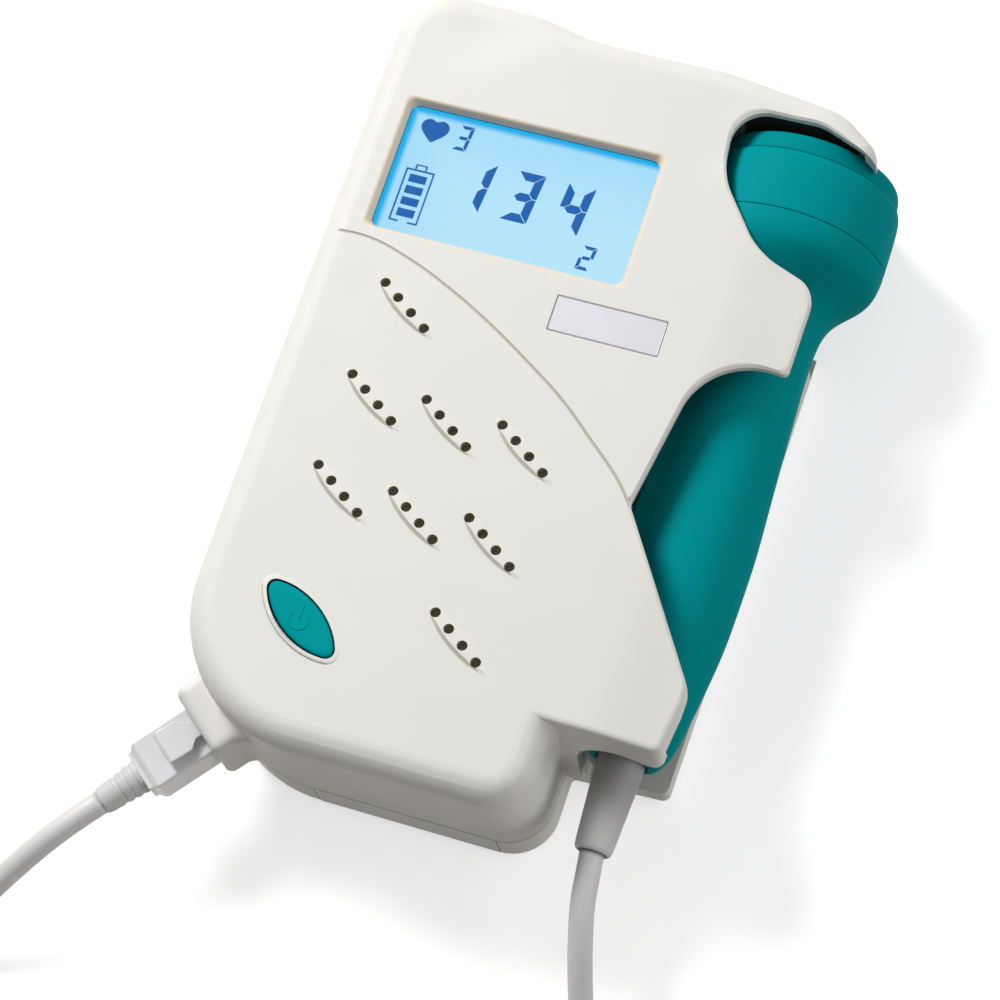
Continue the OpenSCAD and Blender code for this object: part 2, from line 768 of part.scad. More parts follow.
module battery_door() color("#dedcd6") {
    chin = [for (k = [[0, 1.6], [0.5, 0.6], [1.6, 0], [back_h - 0.15, 0], [back_h - 0.15, wall - 0.1]])
        [bottom + k[1], k[0]]];
    difference() {
        union() {
            translate([door_x, bottom + 1, 0]) cube([door_w, door_l - 1, door_t - 0.1]);
            translate([door_x - tongue, bottom + 3, 0.9]) cube([door_w + 2 * tongue, door_l - 12, 0.5]);
            translate([door_x, 0, 0]) rotate([90, 0, 90]) linear_extrude(height = door_w)
                polygon(concat(chin, [[bottom + wall - 0.1, 0]]));
        }
        for (i = [0:grips - 1])
            translate([door_mid - grip_w / 2, bottom + door_l - 22 + i * grip_pitch, -0.1])
                cube([grip_w, 0.8, 0.5]);
    }
}

// Half section of the handle as [distance from its end, radius]
function handle_line(t) = [for (p = [
    [0.8, 7.6 - t], [3.5, 8.4 - t], [9.8, 9.3 - t], [13, 9.8 - t], [18.8, handle_d / 2 - 0.7 - t],
    [24, handle_d / 2 - 0.3 - t], [32.8, handle_d / 2 - 0.1 - t], [38.8, handle_d / 2 - t],
    [45.3, handle_d / 2 - 0.3 - t], [52.8, handle_d / 2 - 0.6 - t], [60.3, neck_d / 2 + 0.3 - t],
    [70.8, neck_d / 2 - t], [75.8, neck_d / 2 - t], [79.7, neck_d / 2 + 0.4 - t],
    [81.8, neck_d / 2 + 1.1 - t], [83.5, neck_d / 2 + 2 - t], [85, neck_d / 2 + 3.1 - t],
    [86.8, head_d / 2 - 2.7 - t],
    [88.4, head_d / 2 - 1.3 - t], [89.8, head_d / 2 - 0.5 - t], [91.8, head_d / 2 - 0.1 - t],
    [93.8, head_d / 2 - t]]) [p[1], p[0] * handle_l / 93.8]];

module probe_handle() color("#00989c") {
    outer = concat([[0, 0], [6.5, 0]], handle_line(0), [[0, handle_l]]);
    inner = concat([[0, 3], [7.6 - probe_wall, 3]], [for (p = handle_line(probe_wall)) if (p[1] > 3) p],
        [[head_d / 2 - probe_wall, handle_l + 1], [0, handle_l + 1]]);
    translate([0, probe_end, 0]) at_probe() difference() {
        rotate_extrude($fn = 72) polygon(outer);
        rotate_extrude($fn = 72) polygon(inner);
        translate([0, 0, -1]) cylinder(d = 5, h = 6);
    }
}

module probe_head() color("#009094") {
    r = head_d / 2;
    ring = [[r - probe_wall, 0], [r, 0], [r, head_l * 0.6], [r - 0.1, head_l - 1], [r - 0.4, head_l - 0.3],
        [r - 0.9, head_l], [r - 3.2, head_l], [r - 3.2, head_l - 1.8], [r - probe_wall, head_l - 1.8]];
    translate([0, seam_y, 0]) at_probe() rotate_extrude($fn = 72) polygon(ring);
}

module probe_cap() color("#00888c") {
    r = cap_d / 2;
    line = [[0, 0], [r, 0], [r, cap_l - 1.1], [r - 0.3, cap_l - 0.4], [r - 1.1, cap_l], [0, cap_l]];
    translate([0, step_y, 0]) at_probe() rotate_extrude($fn = 72) polygon(line);
}

module probe_discs() color("#c8b070") {
    translate([0, step_y - disc_t, 0]) at_probe() {
        cylinder(d = disc_d, h = disc_t);
        for (a = [0:60:300]) rotate(a) translate([disc_d + 1.6, 0, 0]) cylinder(d = disc_d, h = disc_t);
    }
}

module probe_board() color("#1f6b45") {
    w = 2 * (neck_d / 2 - probe_wall) - 0.8;
    l = handle_l - probe_board_from - 14.8;
    pitch = l / (chips + 1);
    translate([probe_x - w / 2, probe_end + probe_board_from, probe_z - probe_board_t / 2])
        cube([w, l, probe_board_t]);
    for (i = [1:chips])
        translate([probe_x, probe_end + probe_board_from + i * pitch, probe_z + probe_board_t / 2 - 0.1])
            translate([-chip_w / 2, -chip_w / 2, 0]) cube([chip_w, chip_w, 1.5]);
}

module probe_boot() color("#9a9a9a") {
    cone = [[0, 0], [boot_d / 2 - 0.7, 0], [boot_d / 2, 0.9], [boot_d / 2 - 0.3, boot_l * 0.25],
        [cord_d / 2 + 1, boot_l - 0.6], [cord_d / 2 + 0.6, boot_l], [0, boot_l]];
    translate([0, probe_end, 0]) at_probe() {
        rotate([180, 0, 0]) rotate_extrude($fn = 48) polygon(cone);
        translate([0, 0, -0.2]) cylinder(d = 4.8, h = 3.4);
        translate([0, 0, 3.05]) cylinder(d = 8, h = 1.4);
    }
}

module plug_body() color("#dedee0") {
    at_socket() {
        socket_bar(socket_out - plug_in, plug_end - 1.5, plug_w, plug_z - plug_t / 2, plug_z + plug_t / 2);
        socket_bar(plug_end - 1.6, plug_end, plug_w - 2, plug_z - plug_t / 2 + 1, plug_z + plug_t / 2 - 1);
    }
}

module plug_hood() color("#cfcfd1") {
    at_socket() translate([plug_end, 0, plug_z]) rotate([0, 90, 0])
        cylinder(d1 = 6, d2 = cord_d + 0.6, h = hood_l);
}

// Latch lever, rising away from the plug's front end
module plug_latch() color("#e6e6e8") {
    low = plug_z + plug_t / 2 + 0.05;
    side = [[socket_out - plug_in + 0.5, low], [socket_out + 7, low + 1.1], [socket_out + 7, low + 2.1],
        [socket_out - plug_in + 0.5, low + 0.9]];
    at_socket() {
        translate([0, 1.6, 0]) rotate([90, 0, 0]) linear_extrude(height = 3.2) polygon(side);
        translate([0, 3, 0]) intersection() {
            rotate([90, 0, 0]) linear_extrude(height = 6) polygon(side);
            translate([socket_out + 1.5, -7, 0]) cube([8, 8, 40]);
        }
    }
}

// Direction of a route at point i; its ends take the given directions
function heading(p, i, a, b) =
    i == 0 ? a : i == len(p) - 1 ? b : unit(unit(p[i] - p[i - 1]) + unit(p[i + 1] - p[i]));

// Tube of radius r along points, with one ring at each
module tube(p, a, b, r, sides) {
    n = len(p);
    rings = [for (i = [0:n - 1])
        let (t = heading(p, i, unit(a), unit(b)),
             u = unit(cross([0, 0, 1], t)),
             v = cross(t, u))
        each [for (k = [0:sides - 1]) let (w = 360 * (k + 0.5) / sides)
            p[i] + r * (cos(w) * u + sin(w) * v)]];
    skin_faces = [for (i = [0:n - 2], k = [0:sides - 1])
        let (m = (k + 1) % sides) each [
            [i * sides + k, (i + 1) * sides + k, (i + 1) * sides + m],
            [i * sides + k, (i + 1) * sides + m, i * sides + m]]];
    ends = concat([for (k = [1:sides - 2]) [0, k, k + 1]],
        [for (k = [1:sides - 2]) [(n - 1) * sides, (n - 1) * sides + k + 1, (n - 1) * sides + k]]);
    polyhedron(rings, concat(skin_faces, ends));
}

// The coil winds in on the floor and out again on top, climbing where it turns back
function ease(x) = let (k = min(max(x, 0), 1)) k * k * (3 - 2 * k);
coil_pitch = cord_d + turn_gap;
layer_h = cord_d + 0.5;
coil_turns = coil_loops + (coil_from - coil_to) / 360;
coil_half = coil_turns / 2;
coil_in = coil_out - coil_pitch * coil_half;
coil_lead_in = cord_d * [-sin(coil_from), cos(coil_from), 0];
coil_lead_out = cord_d * [sin(coil_to), -cos(coil_to), 0];
coil_rings = round(coil_turns * loop_rings);
function coil_point(i) =
    let (turns = coil_turns * i / coil_rings,
         r = coil_in + coil_pitch * abs(turns - coil_half),
         z = coil_z + layer_h * ease((turns - coil_half + 0.25) / 0.5),
         a = coil_from - 360 * turns)
    [coil_c[0] + r * cos(a), coil_c[1] + r * sin(a), z];
coil_wound = [for (i = [0:coil_rings]) coil_point(i)];
coil_start = coil_wound[0];
coil_stop = coil_wound[coil_rings];
coil_points = concat([coil_start + coil_lead_in], coil_wound, [coil_stop + coil_lead_out]);
coil_gap = min([for (i = [0:coil_rings - loop_rings / 2])
    min([for (j = [i + loop_rings / 2:coil_rings]) norm(coil_wound[i] - coil_wound[j])])]) - cord_d;
function run_length(p) = len(p) < 2 ? 0 : norm(p[1] - p[0]) + run_length([for (i = [1:len(p) - 1]) p[i]]);
echo(str("Least gap between the coil's turns: ", coil_gap, " mm"));
lead_l = run_length(route_probe) + run_length(coil_points) + run_length(route_plug);
echo(str("Length of the lead: ", lead_l, " mm"));
echo(str("Coil ends: ", coil_points[0], " ", coil_points[len(coil_points) - 1]));

module lead_probe_side() color("#c9c8c6") tube(route_probe, [0, -1, 0], -coil_lead_in, cord_d / 2, 8);

module lead_coil() color("#c9c8c6") tube(coil_points, -coil_lead_in, coil_lead_out, cord_d / 2, coil_sides);

module lead_plug_side() color("#c9c8c6")
    tube(route_plug, coil_lead_out, [-cos(socket_a), -sin(socket_a), 0], cord_d / 2, 8);

front_cover();
back_cover();
display_window();
display_module();
display_gasket();
display_holder();
main_board();
speaker();
speaker_gasket();
tact_switch();
button_cap();
name_plate();
lead_socket();
socket_contacts();
volume_pot();
volume_wheel();
earphone_jack();
case_screws();
battery_box();
battery_cells();
battery_contacts();
battery_door();
probe_handle();
probe_head();
probe_cap();
probe_board();
probe_discs();
probe_boot();
plug_body();
plug_hood();
plug_latch();
lead_probe_side();
lead_coil();
lead_plug_side();
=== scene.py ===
"""A pocket ultrasound doppler with its docked probe, its coiled lead and its plug."""
import math

import bmesh
import bpy
from mathutils import Matrix, Vector


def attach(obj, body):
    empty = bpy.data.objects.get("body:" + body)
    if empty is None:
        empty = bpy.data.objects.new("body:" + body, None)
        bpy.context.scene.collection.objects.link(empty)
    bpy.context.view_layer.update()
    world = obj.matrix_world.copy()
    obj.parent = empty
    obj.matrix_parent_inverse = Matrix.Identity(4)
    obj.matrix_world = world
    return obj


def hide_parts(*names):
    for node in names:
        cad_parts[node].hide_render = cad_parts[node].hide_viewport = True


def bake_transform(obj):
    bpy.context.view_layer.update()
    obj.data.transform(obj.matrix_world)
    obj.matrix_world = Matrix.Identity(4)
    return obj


bl_info = {
    "name": "Pocket Doppler",
    "version": (1, 0, 0),
    "blender": (4, 5, 0),
    "location": "View3D > Sidebar > Doppler",
    "description": "Models a pocket ultrasound doppler, its docked probe and its lead",
    "category": "Object",
}

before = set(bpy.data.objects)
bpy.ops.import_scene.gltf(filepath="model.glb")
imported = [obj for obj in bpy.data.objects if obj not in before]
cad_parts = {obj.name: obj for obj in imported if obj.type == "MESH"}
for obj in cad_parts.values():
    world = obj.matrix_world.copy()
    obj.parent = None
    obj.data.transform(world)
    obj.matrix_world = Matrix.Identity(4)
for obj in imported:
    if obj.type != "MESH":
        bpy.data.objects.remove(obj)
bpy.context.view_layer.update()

MM = 0.001

# Outlines in mm, anticlockwise from the front: X, Y and the radius of the corner
CASE_OUTLINE = [
    (-46.5, -69.5, 25), (19.1, -69.5, 8), (19.1, -53.6, 2), (37.1, -53.6, 1.6), (38.7, -41, 0),
    (41.8, -30, 0), (41.8, 58.2, 4.5), (34, 64.1, 12), (12, 67, 30), (-12, 67, 20), (-23, 69.4, 15),
    (-46.5, 69.4, 10.8)]
BACK_OUTLINE = [
    (-46.5, -69.5, 25), (19.1, -69.5, 8), (19.1, -54, 0.8), (36, -53.3, 1.4), (37.5, 32.4, 3),
    (41.4, 46.4, 3), (41.4, 58.4, 1.5), (34, 64.3, 12), (12, 67.2, 30), (-12, 67.2, 20),
    (-23, 69.5, 15), (-46.5, 69.5, 8.5)]
FLAP_OUTLINE = [
    (12, -53.6, 0), (37.1, -53.6, 1.6), (38.7, -41, 0), (41.8, -30, 0), (12, -30, 0)]
# The opening in the front face through which the docked probe is seen, with its finger scallop
OPENING = [
    (68.4, -61.6, 0), (68.4, 44.9, 0), (42.2, 55.8, 0.5), (31.5, 59.8, 8), (16.1, 59.8, 6),
    (17.5, 46.8, 14), (27.5, 34.2, 12), (38.6, 30.8, 4.5), (38.4, 14.5, 1), (25, 14.9, 12.4),
    (20.2, -14.6, 2), (38.2, -41.5, 5), (37.7, -61.6, 0)]
# The dock's room below that face: its low part, and its high part, which leaves flap and hood
DOCK_LEFT = [(10.9, 59.9, 5), (10.9, 39, 3), (16.7, 29.9, 3), (16.7, -51.8, 0)]
DOCK_LOW = DOCK_LEFT + [(68.4, -51.8, 0), (68.4, 58.8, 0), (35, 58.8, 1), (32, 59.9, 3)]
DOCK_HIGH = DOCK_LEFT + [
    (35.4, -51.8, 0), (35.4, -35.6, 0), (68.4, -35.6, 0), (68.4, 44.9, 0), (41.2, 55.8, 1),
    (31.5, 59.9, 8)]
# The tray in the back cover, its wider upper part, and the hole in its floor below the head
TRAY = [
    (16.7, -51.6, 0), (30.5, -51.6, 0), (33.6, -48.9, 0), (35.4, 26.9, 0), (68.4, 26.9, 0),
    (68.4, 58.8, 0), (35, 58.8, 1), (32, 59.9, 3), (10.9, 59.9, 5), (10.9, 39, 3), (16.7, 29.9, 3)]
TRAY_UPPER = [
    (22.3, -56, 0), (68.4, -56, 0), (68.4, 49.9, 0), (16.7, 29.9, 0), (16.7, -51.6, 0),
    (22.3, -51.6, 0)]
FLOOR_HOLE = [
    (11, 37.9, 0), (16.7, 33.5, 0), (68.4, 25.9, 0), (68.4, 58.8, 0), (35, 58.8, 0),
    (32, 59.9, 0), (11, 59.9, 0)]

# Heights in mm: the seam between the covers, the underside of the front's skin and the front
SEAM_Z = 9
SKIN_Z = 33.3
FRONT_Z = 35
# Cutters of the front cover start below the seam, and those of the back cover end above it
FRONT_CUT = 8
BACK_CUT = 10

# Rectangles in mm: left, low, right and high, then the radius of the corners
DISPLAY_HOLE = (-38.6, 22.6, 6.7, 46.6, 1.7)
WINDOW = (-38.5, 22.7, 6.6, 46.5, 1.6)
FILM = (-38.45, 22.75, 6.55, 46.45, 1.6)
PLATE_HOLE = (-2.7, 11.4, 16.9, 18, 0.3)
PLATE = (-2.55, 11.55, 16.75, 17.85, 0.3)
WHEEL_SLOT = (-34, 63.5, -20, 71.5, 0.6)
SOCKET_WELL = (15, -5.9, 31, 5.9, 0.8)
DOOR_OPENING = (-21.6, -70.5, 11.4, -13.3)
DOOR = (-21.4, -69.5, 11.2, -13.5, 0.4)
DOOR_CHIN = (-21.4, -69.5, 11.2, -67.6)
PLUG_SECTION = (-4.75, -3.5, 4.75, 3.5, 0.5)

# The lamp's glow on the film in mm: the corner it starts from, a narrow band and a wide one
GLOW_LEFT = -38.4
GLOW_TOP = 46.4
GLOW_NARROW = (0.4, 1.7)
GLOW_WIDE = (0.0, 16)
# How much of the film's own colour shows where the wide band starts
GLOW_FAINT = 0.82

# The route of the lead in mm, from the probe to the coil and on to the plug
ROUTE_PROBE = [
    (29, -68.8, 17.6), (29.5, -73, 17.6), (30, -77, 17.2), (31, -82, 15.4), (32.2, -87, 12.6),
    (33.6, -92, 9.4), (35.2, -97, 6.4), (36.9, -102, 4.2), (38.6, -107, 2.8), (40.3, -113, 2.2),
    (41.7, -119, 2.2), (42.3, -125.2, 2.2), (41.6, -133, 2.2), (39.6, -140.6, 2.2),
    (36.3, -147.7, 2.2), (33.32, -152.24, 2.2)]
ROUTE_PLUG = [
    (1.8, -168, 6.9), (-7.5, -168, 6.4), (-17, -168, 4.8), (-26.5, -168, 3), (-35.5, -168, 2.2),
    (-45, -168, 2.2), (-54, -166, 2.2), (-62.5, -162.5, 2.2), (-70, -156.5, 2.2),
    (-75.5, -149, 2.2), (-79, -140.5, 2.2), (-80.5, -131, 2.2), (-79.5, -122, 2.2),
    (-76, -113, 4.2), (-71, -105.5, 8.8), (-65, -98, 13.6), (-59.5, -91.4, 16.8),
    (-56, -87.1, 17.5), (-53.1, -83.52, 17.5)]
# The coil in mm: its outer turn's radius, the step between turns and both layers' heights
COIL_CENTRE = (6, -137)
COIL_OUT = 31
COIL_FROM = math.atan2(-3, 4)
COIL_TO = -math.pi / 2
COIL_LOOPS = 6
COIL_PITCH = 4.8
COIL_LOW = 2.2
COIL_LAYER = 4.7
RINGS_PER_LOOP = 24

# Where the frame of the socket on the round corner starts, and where its +X points
SOCKET_CENTRE = (-21.5, -44.5)
SOCKET_TURN = math.radians(231)

# The probe's axis in mm, and along it the grip's lower end, the seam below the ring, the step
# between ring and cap, and the flat face
PROBE_X = 29
PROBE_Z = 17.6
PROBE_END = -50.8
SEAM_Y = 43
STEP_Y = 54.3
FACE_Y = 58.2

# The plug: the height of its axis, and the slots over its contacts, across its width, in mm
PLUG_Z = 17.5
SLOT_COUNT = 8
SLOT_PITCH = 1.02
SLOT_FIRST = -3.57
SLOT_HALF = 0.22

# The raised power sign in mm: its middle, its ring's radius and its line's radius
SIGN_AT = (-26.2, -48.6)
SIGN_Z = 35.13
SIGN_RING = 1.7
SIGN_LINE = 0.24

# The camera's place in mm, its right, down and forward directions, and its lens and film in mm
CAMERA_AT = (122.46, -180.99, 544.11)
CAMERA_AXES = ((0.94198, 0.30956, -0.12977), (0.24939, -0.90421, -0.3467),
               (-0.22466, 0.29423, -0.92895))
CAMERA_LENS = 119.6
CAMERA_FILM = 36

# The lights: where each comes from in metres, the key's watts and width, the fill's strength
KEY_FROM = (-0.66, 0.43, 0.73)
KEY_WATTS = 9.8
KEY_WIDTH = 0.4
FILL_FROM = (1.0, 0.25, 0.24)
FILL_STRENGTH = 1.35
FILL_ANGLE = math.radians(60)


def linear(text):
    """An sRGB hex colour as linear red, green and blue, and an alpha of 1."""
    parts = [int(text[i:i + 2], 16) / 255 for i in (0, 2, 4)]
    return [c / 12.92 if c <= 0.04045 else ((c + 0.055) / 1.055) ** 2.4 for c in parts] + [1.0]


def add(tree, kind, values=None, links=None, **settings):
    """Adds a node with its settings, socket values and links."""
    node = tree.nodes.new(kind)
    for name, value in settings.items():
        setattr(node, name, value)
    for socket, value in (values or {}).items():
        node.inputs[socket].default_value = value
    for socket, source in (links or {}).items():
        tree.links.new(source, node.inputs[socket])
    return node


def outline_face(bm, corners, height, inset=0.0):
    """A flat face with its corners rounded by vertex bevels, drawn in by the inset."""
    known = set(bm.faces)
    count = len(corners)
    flat = [Vector(c[:2]) for c in corners]
    rounding = []
    for i in range(count):
        before = (flat[i] - flat[i - 1]).normalized()
        after = (flat[(i + 1) % count] - flat[i]).normalized()
        turn = math.atan2(before.cross(after), before.dot(after))
        inward = Vector((-before.y - after.y, before.x + after.x)) / (1 + before.dot(after))
        place = flat[i] + inward * inset
        radius = max(corners[i][2] - math.copysign(inset, turn), 0.05) if corners[i][2] else 0
        steps = max(2, math.ceil(math.degrees(abs(turn)) / 5))
        rounding.append((bm.verts.new((*place, height)), radius * math.tan(abs(turn) / 2), steps))
    bm.faces.new([vert for vert, _, _ in rounding])
    for vert, offset, steps in rounding:
        if offset:
            bmesh.ops.bevel(bm, geom=[vert], offset=offset, offset_type="OFFSET", segments=steps,
                            profile=0.5, affect="VERTICES", material=-1, clamp_overlap=False)
    return next(face for face in bm.faces if face not in known)


def loft(bm, corners, rings):
    """A closed solid through rings of one outline, each a height and an inset."""
    faces = [outline_face(bm, corners, height, inset) for height, inset in rings]
    loops = [list(face.edges) for face in faces]
    bmesh.ops.delete(bm, geom=faces[1:-1], context="FACES_ONLY")
    for low, high in zip(loops, loops[1:]):
        bmesh.ops.bridge_loops(bm, edges=low + high)
    bmesh.ops.recalc_face_normals(bm, faces=bm.faces)


def solid(bm, name="tool"):
    """An object in mm that holds the bmesh."""
    mesh = bpy.data.meshes.new(name)
    bm.to_mesh(mesh)
    bm.free()
    thing = bpy.data.objects.new(name, mesh)
    bpy.context.scene.collection.objects.link(thing)
    return thing


def lofted(corners, rings, name="tool"):
    """An object that is one closed solid through rings of an outline."""
    bm = bmesh.new()
    loft(bm, corners, rings)
    return solid(bm, name)


def slab(corners, low, high, inset=0.0):
    """A plain plate between two heights."""
    return lofted(corners, [(low, inset), (high, inset)])


def flared(corners, low, high, lip):
    """A cutter that leaves the edge of its hole rounded at the top."""
    turns = [math.pi / 8 * i for i in range(5)]
    rings = [(high - lip * math.cos(a), -lip * (1 - math.cos(a))) for a in turns]
    return lofted(corners, [(low, 0.0)] + rings + [(high + 3, -lip)])


def sloped(corners, low, start, high, out):
    """A cutter whose wall leans out from start to high, and rounds over at the top."""
    return lofted(corners, [
        (low, 0), (start, 0), (high - 0.5, -out * 0.45), (high - 0.25, -out * 0.62),
        (high - 0.08, -out * 0.84), (high, -out * 1.15), (high + 2, -out * 1.15)])


def bar(x0, x1, y0, y1, z0, z1):
    """A plain box."""
    bm = bmesh.new()
    bmesh.ops.create_cube(bm, size=1)
    bmesh.ops.scale(bm, vec=(x1 - x0, y1 - y0, z1 - z0), verts=bm.verts)
    bmesh.ops.translate(bm, vec=((x0 + x1) / 2, (y0 + y1) / 2, (z0 + z1) / 2), verts=bm.verts)
    return solid(bm)


def rod(radius, start, end, sides=64):
    """A round bar between two points."""
    bm = bmesh.new()
    start, end = Vector(start), Vector(end)
    run = end - start
    turn = run.to_track_quat("Z", "Y").to_matrix().to_4x4()
    bmesh.ops.create_cone(bm, cap_ends=True, segments=sides, radius1=radius, radius2=radius,
                          depth=run.length, matrix=Matrix.Translation((start + end) / 2) @ turn)
    return solid(bm)


def merge(*things):
    """Joins loose solids into one object, without working out where they meet."""
    bm = bmesh.new()
    for thing in things:
        bm.from_mesh(thing.data)
        bpy.data.objects.remove(thing)
    return solid(bm)


def boolean(target, tool, operation="DIFFERENCE"):
    """Cuts the tool out of the target, or unites or intersects them."""
    step = target.modifiers.new(operation, "BOOLEAN")
    step.object = tool
    step.operation = operation
    step.solver = "EXACT"
    with bpy.context.temp_override(object=target, active_object=target):
        bpy.ops.object.modifier_apply(modifier=step.name)
    bpy.data.objects.remove(tool)
    return target


# The front cover's material slots, in their order
SHELL_FINISHES = ("case", "hole", "recess", "gap_shade", "crease")
CASE, HOLE, RECESS, GAP_SHADE, CREASE = range(5)


def paint(tool, index):
    """Gives a cutter's faces a material slot, which the faces that it leaves then take."""
    for _ in SHELL_FINISHES:
        tool.data.materials.append(None)
    for polygon in tool.data.polygons:
        polygon.material_index = index
    return tool


def turned(corners, x=0.0, y=0.0, angle=0.0):
    """An outline turned about its origin and moved."""
    c, s = math.cos(angle), math.sin(angle)
    return [(x + c * a - s * b, y + s * a + c * b, r) for a, b, r in corners]


def box_outline(x0, y0, x1, y1, radius=0.0):
    """A rectangle's outline, with all four corners rounded alike."""
    return [(x0, y0, radius), (x1, y0, radius), (x1, y1, radius), (x0, y1, radius)]


def leaf(length, width, tip):
    """Corners of a leaf: two long arcs that meet in round tips. Its arcs are found by halving."""
    low, high = 0.1, 1.4
    for _ in range(40):
        angle = (low + high) / 2
        reach = length / 2 + tip * (1 / math.sin(angle) - 1)
        side = (reach * math.tan(angle) - width / 2) / (1 / math.cos(angle) - 1)
        if tip / math.tan(angle) + side * math.tan(angle) > reach / math.cos(angle):
            high = angle
        else:
            low = angle
    rise = reach * math.tan(angle)
    return [(reach, 0, tip), (0, rise, side), (-reach, 0, tip), (0, -rise, side)]


def settle(thing, name, material, body, replaces=(), angle=35, weighted=True):
    """Scales a finished shape to metres, names it, smooths it and puts it on its body."""
    thing.data.transform(Matrix.Scale(MM, 4))
    thing.name = thing.data.name = name
    if not thing.data.materials:
        thing.data.materials.append(None)
    thing.data.materials[0] = material
    thing.data.shade_smooth()
    if angle:
        bpy.context.view_layer.objects.active = thing
        thing.data.set_sharp_from_angle(angle=math.radians(angle))
    if weighted:
        normals = thing.modifiers.new("Weighted normals", "WEIGHTED_NORMAL")
        normals.keep_sharp = True
    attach(thing, body)
    if replaces:
        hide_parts(*replaces)
    return thing


# Where the painted light on the sleeves starts to pale them and where they are palest, along the
# probe in mm
FADE_FROM = -56
FADE_TO = -69
# How far a surface's roughness strays to both sides of its own
GLOSS_SPREAD = 0.05


def tint(colour):
    """A colour as linear values, from sRGB hex or from a colour property, which is linear."""
    return linear(colour) if isinstance(colour, str) else [*colour, 1.0]


def empty_material(name):
    """A material whose node tree has no nodes yet."""
    material = bpy.data.materials.new(name)
    material.use_nodes = True
    material.node_tree.nodes.clear()
    return material


def moulded(name, colour, shade, roughness, grain, depth, mottle=9.0, sockets=None, fade=None):
    """Moulded plastic or rubber with a faint mottle and a spark-eroded grain; grain, depth and
    mottle are in mm. A fade is a paler colour toward the lead, which is painted light."""
    material = empty_material(name)
    tree = material.node_tree
    place = add(tree, "ShaderNodeTexCoord").outputs["Object"]
    patches = add(tree, "ShaderNodeTexNoise", {"Scale": 1 / (mottle * MM), "Detail": 4.0},
                  {"Vector": place})
    # Sockets 6 and 7 of a Mix node are its two colours, and output 2 is the mixed one
    tone = add(tree, "ShaderNodeMix", {6: tint(colour), 7: tint(shade)},
               {"Factor": patches.outputs["Fac"]}, data_type="RGBA").outputs[2]
    if fade:
        # Painted light: the colour pales toward the lead along Y
        along = add(tree, "ShaderNodeSeparateXYZ", links={0: place}).outputs["Y"]
        painted_pale = add(tree, "ShaderNodeMapRange",
                   {"From Min": FADE_FROM * MM, "From Max": FADE_TO * MM}, {"Value": along},
                   interpolation_type="SMOOTHSTEP")
        tone = add(tree, "ShaderNodeMix", {7: tint(fade)}, {"Factor": painted_pale.outputs[0], 6: tone},
                   data_type="RGBA").outputs[2]
    # Real grain is about 0.05 mm wide, finer than a pixel, so it is drawn some five times coarser
    fine = add(tree, "ShaderNodeTexNoise", {"Scale": 1 / (grain * MM), "Detail": 2.0},
               {"Vector": place})
    bump = add(tree, "ShaderNodeBump", {"Strength": 1.0, "Distance": depth * MM},
               {"Height": fine.outputs["Fac"]})
    gloss = add(tree, "ShaderNodeMapRange",
                {"To Min": roughness - GLOSS_SPREAD, "To Max": roughness + GLOSS_SPREAD},
                {"Value": patches.outputs["Fac"]})
    surface = add(tree, "ShaderNodeBsdfPrincipled", sockets or {},
                  {"Base Color": tone, "Roughness": gloss.outputs["Result"],
                   "Normal": bump.outputs["Normal"]})
    add(tree, "ShaderNodeOutputMaterial", links={"Surface": surface.outputs["BSDF"]})
    return material


def lit(name, colour, edge=None):
    """A backlit film or ink that shows its own colour. An edge colour is where the lamp behind the
    film's upper and left edges glows: a narrow bright band, and a wide faint one."""
    material = empty_material(name)
    tree = material.node_tree
    surface = add(tree, "ShaderNodeBsdfPrincipled",
                  {"Base Color": (0.01, 0.01, 0.01, 1), "Roughness": 0.6, "Specular IOR Level": 0.0,
                   "Emission Color": linear(colour), "Emission Strength": 1.0})
    if edge:
        place = add(tree, "ShaderNodeTexCoord").outputs["Object"]
        spot = add(tree, "ShaderNodeSeparateXYZ", links={0: place}).outputs
        down = add(tree, "ShaderNodeMath", {0: GLOW_TOP * MM}, {1: spot["Y"]},
                   operation="SUBTRACT")
        right = add(tree, "ShaderNodeMath", {1: -GLOW_LEFT * MM}, {0: spot["X"]}, operation="ADD")
        near = add(tree, "ShaderNodeMath", links={0: down.outputs[0], 1: right.outputs[0]},
                   operation="MINIMUM")
        fade = add(tree, "ShaderNodeMapRange",
                   {"From Min": GLOW_NARROW[0] * MM, "From Max": GLOW_NARROW[1] * MM},
                   {"Value": near.outputs[0]}, interpolation_type="SMOOTHSTEP")
        wide = add(tree, "ShaderNodeMapRange",
                   {"From Min": GLOW_WIDE[0] * MM, "From Max": GLOW_WIDE[1] * MM,
                    "To Min": GLOW_FAINT},
                   {"Value": near.outputs[0]}, interpolation_type="SMOOTHSTEP")
        both = add(tree, "ShaderNodeMath", links={0: fade.outputs[0], 1: wide.outputs[0]},
                   operation="MULTIPLY")
        tone = add(tree, "ShaderNodeMix", {6: linear(edge), 7: linear(colour)},
                   {"Factor": both.outputs[0]}, data_type="RGBA").outputs[2]
        tree.links.new(tone, surface.inputs["Emission Color"])
    add(tree, "ShaderNodeOutputMaterial", links={"Surface": surface.outputs["BSDF"]})
    return material


# Every finish by a short name, once the first operator has made them
FINISHES = {}


